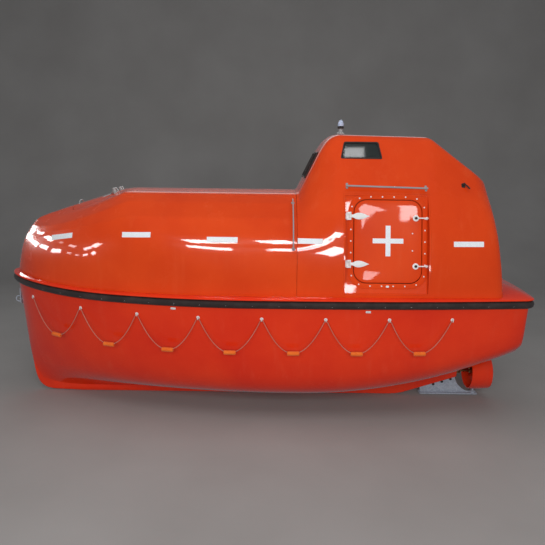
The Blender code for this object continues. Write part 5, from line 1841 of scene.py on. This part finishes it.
def make_grab_rail(side, word):
    """The short bent rail beside the joint of the two mouldings."""
    feet, bends = [], []
    for index, out, lean in GRAB_RAIL_BENDS:
        y, z = CANOPY_LINES[index][2:4]
        turn = math.radians(lean)
        feet.append(Vector((GRAB_RAIL_X, side * (y - 0.006), z - 0.003)))
        bends.append(Vector((GRAB_RAIL_X, side * (y + out * math.sin(turn)), z + out * math.cos(turn))))
    bm = bmesh.new()
    add_tube(bm, catmull([feet[0]] + bends + [feet[-1]], 8), GRAB_RAIL_RADIUS, 14)
    for foot in (feet[0], feet[-1]):
        _, normal = side_hit(SKIN, side, foot.x, foot.z)
        add_turned(bm, GRAB_RAIL_FOOT, foot, normal, 20)
    piece_of(f"grab_bar_{word}", bm, STEEL, "boat", f"grab_rail_{word}")


LAMP_FOOT = (0.86, 0.0, 2.3170)
LAMP_STEM = [(-0.003, 0), (-0.003, 0.043), (0.010, 0.043), (0.014, 0.038), (0.020, 0.022)]
LAMP_STEM += [(0.056, 0.020), (0.0575, 0.0)]
LAMP_CUP = [(0.0578, 0), (0.0578, 0.030), (0.062, 0.034), (0.078, 0.0342), (0.084, 0.031), (0.084, 0.0)]
DOME_FOOT = 0.0842
DOME_SPRING = 0.098  # where the dome starts to close
DOME_TOP = 0.149
DOME_RADIUS = 0.0315
DOME_STEPS = 9


def turned_piece(name, profile, finish, *nodes, **options):
    """One part of the lamp, turned about its upright axis."""
    bm = bmesh.new()
    add_turned(bm, profile, LAMP_FOOT, (0, 0, 1), 32)
    piece_of(name, bm, finish, "boat", *nodes, **options)


def make_lamp():
    turned_piece("lamp_stem", LAMP_STEM, STEEL, angle=35)
    turned_piece("lamp_cup", LAMP_CUP, DARK, "position_lamp", angle=35, slot="lamp_glass")
    dome = [(DOME_FOOT, 0.0), (DOME_FOOT, 0.031)]
    for k in range(DOME_STEPS):
        angle = math.pi / 2 * k / DOME_STEPS
        rise = (DOME_TOP - DOME_SPRING) * math.sin(angle)
        dome.append((DOME_SPRING + rise, DOME_RADIUS * math.cos(angle)))
    turned_piece("lamp_dome", dome + [(DOME_TOP, 0.0)], LENS, angle=50)


BOW_PLATE_X = (-2.7595, -2.7485)
BOW_BOLT_Z = (0.480, 0.510, 0.540)
BOW_RING_Z = 0.430


def make_bow_eye():
    bm = bmesh.new()
    outline = rounded_outline((0.372, 0.558), (-0.023, 0.023), 0.018, 6)
    add_prism(bm, outline, *BOW_PLATE_X, lambda z, y, x: (x, y, z))
    add_bolts(bm, (-1, 0, 0), [Vector((-2.7590, 0.0, z)) for z in BOW_BOLT_Z], 0.0095, 0.0060, 16)
    add_ring(bm, (-2.781, 0.0, BOW_RING_Z), (0, 1, 0), 0.032, 0.0065, 36, 14)
    add_ring(bm, (-2.762, 0.0, BOW_RING_Z), (0, 0, 1), 0.011, 0.0045, 20, 10)
    options = {"angle": 35, "rounding": (0.0012, 50), "slot": "stainless_steel"}
    piece_of("painter_ring", bm, GALVANISED, "boat", "bow_eye", **options)


EYE_FOOT = [(-0.004, 0), (-0.004, 0.017), (0.0028, 0.017), (0.0045, 0.014), (0.0045, 0)]
EYE_RADIUS = 0.0135


def make_lifeline_eyes(side, word):
    """Rings that carry the lifeline, each on a round foot."""
    bm = bmesh.new()
    for eye in range(EYE_COUNT):
        rope = rope_point(side, eye)
        place, out = on_surface(SHELL_SIDE, side, rope.x, rope.z + 0.010)
        add_turned(bm, EYE_FOOT, place(0, 0, 0), out, 20)
        centre = rope + Vector((0.0, 0.0, 0.0055))
        add_ring(bm, centre, (1, 0, 0), EYE_RADIUS, 0.0032, 24, 10)
        add_tube(bm, [place(0, 0, 0.002), centre - Vector((0, side * (EYE_RADIUS - 0.001), 0))], 0.0045, 10)
        add_bolts(bm, out, [place(0, up, 0.0040) for up in (0.011, -0.011)], 0.0035, 0.0020, 8)
    piece_of(f"lifeline_eyes_{word}", bm, POLISHED, "boat")


CLIP_PLACES = [(-0.83, 0.594), (1.07, 0.594)]
CLIP_PLATE = rounded_plate(0.026, 0.011, 0.008, 4)
CLIP_BOW = [(-0.008, 0.003), (-0.006, 0.016), (0, 0.020), (0.006, 0.016), (0.008, 0.003)]


def make_clips(side, word):
    """Small two-bolt clips on the hull under the fender."""
    bm = bmesh.new()
    for x, z in CLIP_PLACES:
        place, out = on_surface(SHELL_SIDE, side, x, z)
        add_prism(bm, CLIP_PLATE, -0.002, 0.0045, place)
        add_bolts(bm, out, [place(a, 0, 0.0042) for a in (-0.015, 0.015)], 0.0075, 0.0060, 12)
        add_tube(bm, catmull([place(a, 0, level) for a, level in CLIP_BOW], 4), 0.0028, 8)
    piece_of(f"hull_clips_{word}", bm, POLISHED, "boat", angle=35, rounding=(0.0008, 50))


CLEAT_PLACE = (2.035, 1.800)
CLEAT_PLATE = rounded_plate(0.020, 0.024, 0.012, 5)
CLEAT_ARM = [(-0.004, 0.014, 0.004), (0.004, 0.008, 0.022), (0.026, -0.018, 0.030), (0.052, -0.046, 0.030)]
CLEAT_BOSS = [(0, 0), (0, 0.012), (0.024, 0.010), (0.030, 0.006), (0.030, 0)]


def make_cleat(side, word):
    """The small lever on the wheelhouse's aft slope."""
    bm = bmesh.new()
    place, out = on_surface(SKIN, side, *CLEAT_PLACE)
    add_prism(bm, CLEAT_PLATE, -0.002, 0.0045, place)
    add_tube(bm, catmull([place(*point) for point in CLEAT_ARM], 5), 0.0068)
    add_turned(bm, CLEAT_BOSS, place(0.0, 0.010, 0.002), out, 20)
    add_bolts(bm, out, [place(a, -0.012, 0.0042) for a in (-0.010, 0.010)], 0.0050, 0.0030)
    piece_of(f"side_cleat_{word}", bm, DARK, "boat", slot="stainless_steel")


for side_sign, side_word in SIDES:
    make_handrail(side_sign, side_word)
    make_grab_rail(side_sign, side_word)
    make_lifeline_eyes(side_sign, side_word)
    make_clips(side_sign, side_word)
    make_cleat(side_sign, side_word)
make_lamp()
make_bow_eye()

# Stern gear

SHAFT_RADIUS = 0.0175
PIN_RADIUS = 0.012
STOCK_RADIUS = 0.0225
STOCK_LOW_Z = SHAFT_Z + 0.204
STOCK_HIGH_Z = 0.150
PIN_LOW_Z = KEEL_Z + 0.006
PIN_HIGH = SHAFT_Z - 0.205 - PIN_LOW_Z
RING_OUTER = [(-0.090, 0.2010), (-0.080, 0.2100), (-0.030, 0.2146), (0.050, 0.2130), (0.147, 0.2055)]
RING_INNER = [(0.147, 0.2005), (0.060, 0.1940), (-0.010, 0.1905), (-0.060, 0.1925), (-0.090, 0.2010)]
FIN_FORE = [(0.100, 0.199), (0.085, 0.10), (0.080, 0.0), (0.085, -0.10)]
FIN_AFT = [(0.140, -0.199), (0.172, -0.140), (0.194, -0.060), (0.199, 0.0)]
FIN_AFT += [(0.194, 0.060), (0.172, 0.140), (0.140, 0.199)]
FIN_HALF = 0.0058


def make_nozzle():
    """The ring round the propeller, of an aerofoil's section, with its fin."""
    bm = bmesh.new()
    profile = flat_curve(RING_OUTER, 5) + flat_curve(RING_INNER, 5)[:-1]
    add_turned(bm, profile + [profile[0]], (PROPELLER_X, 0.0, SHAFT_Z), (1, 0, 0), 96)
    edge = [(0.100, -0.199)] + flat_curve(FIN_AFT, 4) + FIN_FORE
    add_prism(bm, edge, -FIN_HALF, FIN_HALF, lambda x, z, y: (PROPELLER_X + x, y, SHAFT_Z + z))
    piece_of("nozzle_ring", bm, HULL, "nozzle", "steering_nozzle", rounding=(0.0015, 50))
    bm = bmesh.new()
    high = STOCK_HIGH_Z - STOCK_LOW_Z
    stock = [(0, 0), (0, 0.034), (0.014, 0.034), (0.022, STOCK_RADIUS), (high, STOCK_RADIUS), (high, 0)]
    add_turned(bm, stock, (PROPELLER_X, 0, STOCK_LOW_Z), (0, 0, 1), 28)
    pin = [(0, 0), (0, PIN_RADIUS), (PIN_HIGH - 0.012, PIN_RADIUS), (PIN_HIGH - 0.006, 0.026)]
    pin += [(PIN_HIGH + 0.004, 0.026), (PIN_HIGH + 0.004, 0)]
    add_turned(bm, pin, (PROPELLER_X, 0, PIN_LOW_Z), (0, 0, 1))
    piece_of("nozzle_stock", bm, GALVANISED, "nozzle", "steering_nozzle")


BLADE_SECTIONS = [
    # radius, chord, pitch in degrees, thickness
    (0.026, 0.056, 64, 0.0120),
    (0.050, 0.086, 56, 0.0100),
    (0.080, 0.110, 48, 0.0080),
    (0.110, 0.121, 41, 0.0065),
    (0.138, 0.114, 35, 0.0050),
    (0.156, 0.094, 31, 0.0040),
    (0.167, 0.064, 29, 0.0034),
    (0.1715, 0.026, 28, 0.0028),
]
BLADE_COUNT = 3
BLADE_STEPS = 20  # points round a section
BLADE_CAMBER = 0.006
HUB_RADIUS = 0.05  # outside which the sections lie on cylinders
HUB = [
    # along from the propeller's middle, radius
    (-0.062, SHAFT_RADIUS),
    (-0.058, 0.030),
    (-0.020, 0.0345),
    (0.030, 0.0355),
    (0.050, 0.0330),
    (0.068, 0.0270),
    (0.080, 0.0170),
    (0.085, 0.0),
]


def blade_ring(radius, chord, pitch, thick, angle):
    """One section of a blade."""
    turn = math.radians(pitch)
    ring = []
    for k in range(BLADE_STEPS):
        around = math.tau * k / BLADE_STEPS
        along = -0.5 * chord * math.cos(around)
        out = 0.5 * thick * math.sin(around) * (1.0 + 0.3 * math.cos(around))
        out += BLADE_CAMBER * (1 - (2 * along / chord) ** 2)
        x = along * math.sin(turn) + out * math.cos(turn)
        side = along * math.cos(turn) - out * math.sin(turn)
        reach = math.sqrt(radius * radius - side * side) if radius > HUB_RADIUS else radius
        y = reach * math.cos(angle) - side * math.sin(angle)
        z = reach * math.sin(angle) + side * math.cos(angle)
        ring.append((PROPELLER_X + x, y, SHAFT_Z + z))
    return ring


def make_propeller():
    bm = bmesh.new()
    start = HEEL_END_X - 0.050
    hub = [(start, 0.0), (start, SHAFT_RADIUS)] + [(PROPELLER_X + a, radius) for a, radius in HUB]
    add_turned(bm, hub, (0, 0, SHAFT_Z), (1, 0, 0), 40)
    for k in range(BLADE_COUNT):
        angle = math.radians(90 + 360 / BLADE_COUNT * k)
        rings = [blade_ring(*section, angle) for section in BLADE_SECTIONS]
        smooth = [catmull(column, 3) for column in zip(*rings)]
        close_ends(bm, skin(bm, [list(ring) for ring in zip(*smooth)], wrap=True))
    piece_of("propeller_blades", bm, BRONZE, "screw", "propeller")


TUBE_BORE = SHAFT_RADIUS + 0.003
TUBE_PROFILE = [(-0.055, TUBE_BORE), (-0.055, 0.0345), (0.0004, 0.0345), (0.0004, 0.048), (0.010, 0.048)]
TUBE_PROFILE += [(0.014, 0.042), (0.034, 0.038), (0.046, 0.034), (0.046, TUBE_BORE), (-0.055, TUBE_BORE)]
TUBE_BOLT_REACH = 0.0445


def make_stern_tube():
    bm = bmesh.new()
    add_turned(bm, TUBE_PROFILE, (HEEL_END_X, 0, SHAFT_Z), (1, 0, 0), 40)
    angles = [math.pi / 4 + math.pi / 2 * k for k in range(4)]
    spots = [(TUBE_BOLT_REACH * math.cos(a), SHAFT_Z + TUBE_BOLT_REACH * math.sin(a)) for a in angles]
    add_bolts(bm, (1, 0, 0), [Vector((HEEL_END_X + 0.0098, y, z)) for y, z in spots], 0.0030, 0.0030, 8)
    piece_of("stern_bearing", bm, BRONZE, "boat", "stern_tube")


SKEG_FORE_X = 1.900
SKEG_AFT = [(2.300, -0.4405), (2.314, -0.490), (2.342, -0.545), (2.386, -0.592), (2.440, -0.625)]
SKEG_AFT += [(2.500, -0.642)]
SKEG_FOOT_Z = KEEL_Z + 0.012
PIN_BORE = PIN_RADIUS + 0.0015
SKEG_BOSS = [(0, PIN_BORE), (0, 0.031), (0.022, 0.030), (0.026, 0.027), (0.026, PIN_BORE), (0, PIN_BORE)]
SKEG_BOLTS = [(2.055, -0.5490), (2.155, -0.5160), (2.255, -0.4830)]
SKEG_BOLT_HEAD = [(0, 0), (0, 0.0165), (0.009, 0.0165), (0.0105, 0.0140), (0.0105, 0)]


def make_skeg():
    """The galvanised heel plate with its flange and boss, and three bolts into the keel."""
    outline = [(SKEG_FORE_X, SKEG_FOOT_Z), (SKEG_FORE_X, -0.5735)] + flat_curve(SKEG_AFT, 5)
    outline.append((SKEG_AFT[-1][0], SKEG_FOOT_Z))
    bm = bmesh.new()
    add_prism(bm, outline, -0.008, 0.008, from_side)
    flange = rounded_outline((1.890, 2.575), (-0.050, 0.050), 0.018, 5)
    add_prism(bm, flange, KEEL_Z + 0.002, KEEL_Z + 0.014, from_above)
    add_turned(bm, SKEG_BOSS, (PROPELLER_X, 0, KEEL_Z + 0.004), (0, 0, 1), 32)
    piece_of("heel_plate", bm, GALVANISED, "boat", "skeg_plate", angle=35, rounding=(0.0012, 50))
    bm = bmesh.new()
    for x, z in SKEG_BOLTS:
        for side, _ in SIDES:
            add_turned(bm, SKEG_BOLT_HEAD, (x, side * 0.0078, z), (0, side, 0), 6)
    piece_of("heel_bolts", bm, DARK, "boat", angle=30, slot="galvanised_steel")


make_nozzle()
make_propeller()
make_stern_tube()
make_skeg()

# Stage and light

STAGE_HALF = 30.0
STAGE_BEND_Y = 6.0  # where the floor starts to curve up into the backdrop
STAGE_BEND = 4.0
STAGE_STEPS = 12
STAGE_TOP_Z = 16.0
STAGE_Z = KEEL_Z - 0.006


def floor_finish():
    made = Finish("studio_floor", (0.34, 0.33, 0.32), 0.85, Specular_IOR_Level=0.2)
    tone = made.greys(made.noise(0.6, 4.0, 0.5), 0.3, 0.8)
    made.colour(made.mixed(tone, (0.30, 0.29, 0.28), (0.36, 0.35, 0.34)))
    return made.material


def make_stage():
    path = [(-STAGE_HALF, STAGE_Z), (STAGE_BEND_Y, STAGE_Z)]
    for k in range(1, STAGE_STEPS + 1):
        angle = math.pi / 2 * k / STAGE_STEPS
        rise = STAGE_BEND * (1 - math.cos(angle))
        path.append((STAGE_BEND_Y + STAGE_BEND * math.sin(angle), STAGE_Z + rise))
    path.append((STAGE_BEND_Y + STAGE_BEND, STAGE_TOP_Z))
    bm = bmesh.new()
    skin(bm, [[(x, y, z) for x in (-STAGE_HALF, STAGE_HALF)] for y, z in path])
    floor = from_bmesh("studio_floor", bm, floor_finish(), 60)
    floor.visible_glossy = False


def area_light(name, place, target, size, power):
    data = bpy.data.lights.new(name, "AREA")
    data.shape = "RECTANGLE"
    data.size, data.size_y = size
    data.energy = power
    light = bpy.data.objects.new(name, data)
    light.location = place
    light.rotation_euler = (Vector(target) - Vector(place)).to_track_quat("-Z", "Y").to_euler()
    bpy.context.collection.objects.link(light)
    return light


# Highlights on the gelcoat as the photograph shows them, in its pixels
HIGHLIGHTS = {
    # name: two ends (across, down), thickness, brightness
    "bow_low_1": ((29.0, 234.0), (33.0, 240.5), 2.8, 40),
    "bow_low_2": ((32.5, 241.0), (38.0, 245.5), 4.4, 40),
    "bow_low_3": ((40.0, 245.5), (48.0, 248.5), 3.6, 34),
    "bow_low_4": ((51.5, 250.0), (61.0, 251.5), 3.2, 32),
    "bow_low_5": ((66.5, 253.0), (71.5, 253.3), 2.2, 16),
    "bow_low_6": ((76.5, 254.9), (79.5, 254.9), 1.6, 12),
    "bow_low_7": ((82.5, 254.9), (87.5, 254.5), 2.2, 30),
    "bow_low_8": ((91.0, 254.0), (95.5, 251.6), 2.8, 34),
    "bow_high_1": ((33.5, 226.0), (35.5, 229.0), 2.0, 24),
    "bow_high_2": ((37.0, 229.5), (43.0, 234.0), 2.0, 30),
    "bow_high_3": ((46.5, 236.5), (53.5, 239.6), 2.2, 34),
    "bow_high_4": ((58.5, 242.0), (62.0, 242.6), 1.6, 8),
    "bow_high_5": ((70.0, 245.2), (75.0, 246.4), 2.2, 14),
    "bow_high_6": ((84.5, 249.4), (91.0, 246.6), 2.2, 30),
    "bow_high_7": ((93.5, 246.6), (100.5, 242.8), 2.4, 30),
    "shoulder_fore_high": ((185.0, 241.4), (229.0, 241.6), 2.4, 40),
    "shoulder_fore_low": ((185.0, 246.2), (232.0, 249.4), 3.0, 40),
    "shoulder_aft_high": ((264.0, 242.2), (296.0, 242.0), 3.6, 44),
    "shoulder_aft_low": ((268.0, 248.8), (296.0, 249.6), 3.0, 40),
    "shoulder_end": ((298.5, 250.2), (307.0, 250.2), 2.6, 40),
    "house_high": ((324.5, 239.0), (342.0, 235.6), 4.4, 44),
    "house_low": ((323.5, 251.2), (342.0, 253.0), 4.6, 44),
    "panel_high": ((345.5, 206.5), (350.5, 206.5), 10.0, 32),
    "panel_low": ((346.0, 283.5), (360.0, 283.5), 18.0, 34),
    "leaf_high_fore": ((357.5, 207.0), (372.5, 207.0), 11.0, 14),
    "leaf_high_aft": ((401.0, 211.0), (417.5, 211.0), 11.0, 18),
    "leaf_low": ((362.5, 275.5), (373.0, 275.5), 8.0, 12),
    "panel_aft": ((428.8, 274.0), (428.8, 288.0), 5.0, 20),
    "window": ((342.0, 152.5), (364.0, 152.5), 9.0, 9),
}
HIGHLIGHT_REACH = 9.0  # how far from the boat their lamps hang
LAMP_LEAST = 0.05

SHINING_PIECES = [
    canopy_skin,
    wheelhouse_skin,
    bpy.data.objects["hatch_panel_port"],
    bpy.data.objects["hatch_leaf_port"],
    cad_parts["side_window_port"],
]
MIRRORS = {piece.name: surface_of(piece) for piece in SHINING_PIECES}


def lit_alone(piece):
    """A collection that keeps a lamp's light on one piece."""
    made = bpy.data.collections.new(f"lit_{piece.name}")
    made.objects.link(piece)
    return made


LIT_ALONE = {piece.name: lit_alone(piece) for piece in SHINING_PIECES}


def mirrored_place(pixel):
    """The piece and point seen at a pixel, and where a lamp must hang to be mirrored there."""
    camera = bpy.context.scene.camera
    middle = PHOTO_SIDE / 2
    look = Vector((pixel[0] - middle, middle - pixel[1], -FOCAL_PIXELS)).normalized()
    look = camera.matrix_world.to_3x3() @ look
    hits = [(name, *tree.ray_cast(camera.matrix_world.translation, look)) for name, tree in MIRRORS.items()]
    seen = [hit for hit in hits if hit[1] is not None]
    name, point, normal, _, _ = min(seen, key=lambda hit: hit[4])
    return name, point, point + (look - normal * 2 * look.dot(normal)) * HIGHLIGHT_REACH


def make_highlight(name, start, end, thickness, brightness):
    """A lamp that shows only as a highlight between two pixels."""
    start, end = Vector(start), Vector(end)
    along = (end - start).normalized()
    over = Vector((-along.y, along.x)) * thickness / 2
    corners = [mirrored_place(pixel + over * sign)[2] for pixel in (start, end) for sign in (-1, 1)]
    middle = sum(corners, Vector()) / 4
    piece_name, point, _ = mirrored_place((start + end) / 2)
    width = (corners[2] + corners[3] - corners[0] - corners[1]) / 2
    height = (corners[1] + corners[3] - corners[0] - corners[2]) / 2
    towards = (middle - point).normalized()
    across = (width - towards * width.dot(towards)).normalized()
    size = (max(width.length, LAMP_LEAST), max(height.length, LAMP_LEAST))
    lamp = area_light(name, middle, point, size, brightness * math.pi * size[0] * size[1])
    turn = Matrix((across, towards.cross(across), towards)).transposed()
    lamp.matrix_world = Matrix.Translation(middle) @ turn.to_4x4()
    lamp.visible_diffuse = False
    lamp.visible_transmission = False
    lamp.light_linking.receiver_collection = LIT_ALONE[piece_name]


SOFT_LIGHTS = {
    # name: place, target, size, power, shows in reflections
    "fill_above": ((0.0, -2.5, 6.5), (0.0, 0.0, 0.4), (9.0, 6.0), 205, False),
    "fill_front": ((0.0, -9.5, 3.2), (0.0, 0.0, 0.4), (9.0, 4.0), 600, False),
    "softbox_far": ((0.0, 7.0, 5.0), (0.0, 0.0, 0.8), (8.0, 3.0), 60, True),
}
SKY_COLOUR = (0.80, 0.83, 0.88, 1.0)
SKY_STRENGTH = 0.20


def make_sky():
    world = bpy.data.worlds.new("studio")
    world.use_nodes = True
    background = world.node_tree.nodes["Background"]
    background.inputs["Color"].default_value = SKY_COLOUR
    background.inputs["Strength"].default_value = SKY_STRENGTH
    bpy.context.scene.world = world


def make_lights():
    for name, (place, target, size, power, glossy) in SOFT_LIGHTS.items():
        area_light(name, place, target, size, power).visible_glossy = glossy
    for name, (start, end, thickness, brightness) in HIGHLIGHTS.items():
        make_highlight(f"highlight_{name}", start, end, thickness, brightness)
    make_sky()
    view = bpy.context.scene.view_settings
    view.view_transform = "Standard"
    view.look = "None"
    view.exposure = 0.0


make_stage()
make_lights()

# Frame nodes that keep their own shape

NODE_FINISHES = {
    "bench_port": LINING,
    "bench_starboard": LINING,
    "helm_seat": VINYL,
    "helm_console": LINING,
    "engine": ENAMEL,
}

for node_name, node_finish in NODE_FINISHES.items():
    paint_node(node_name, node_finish)
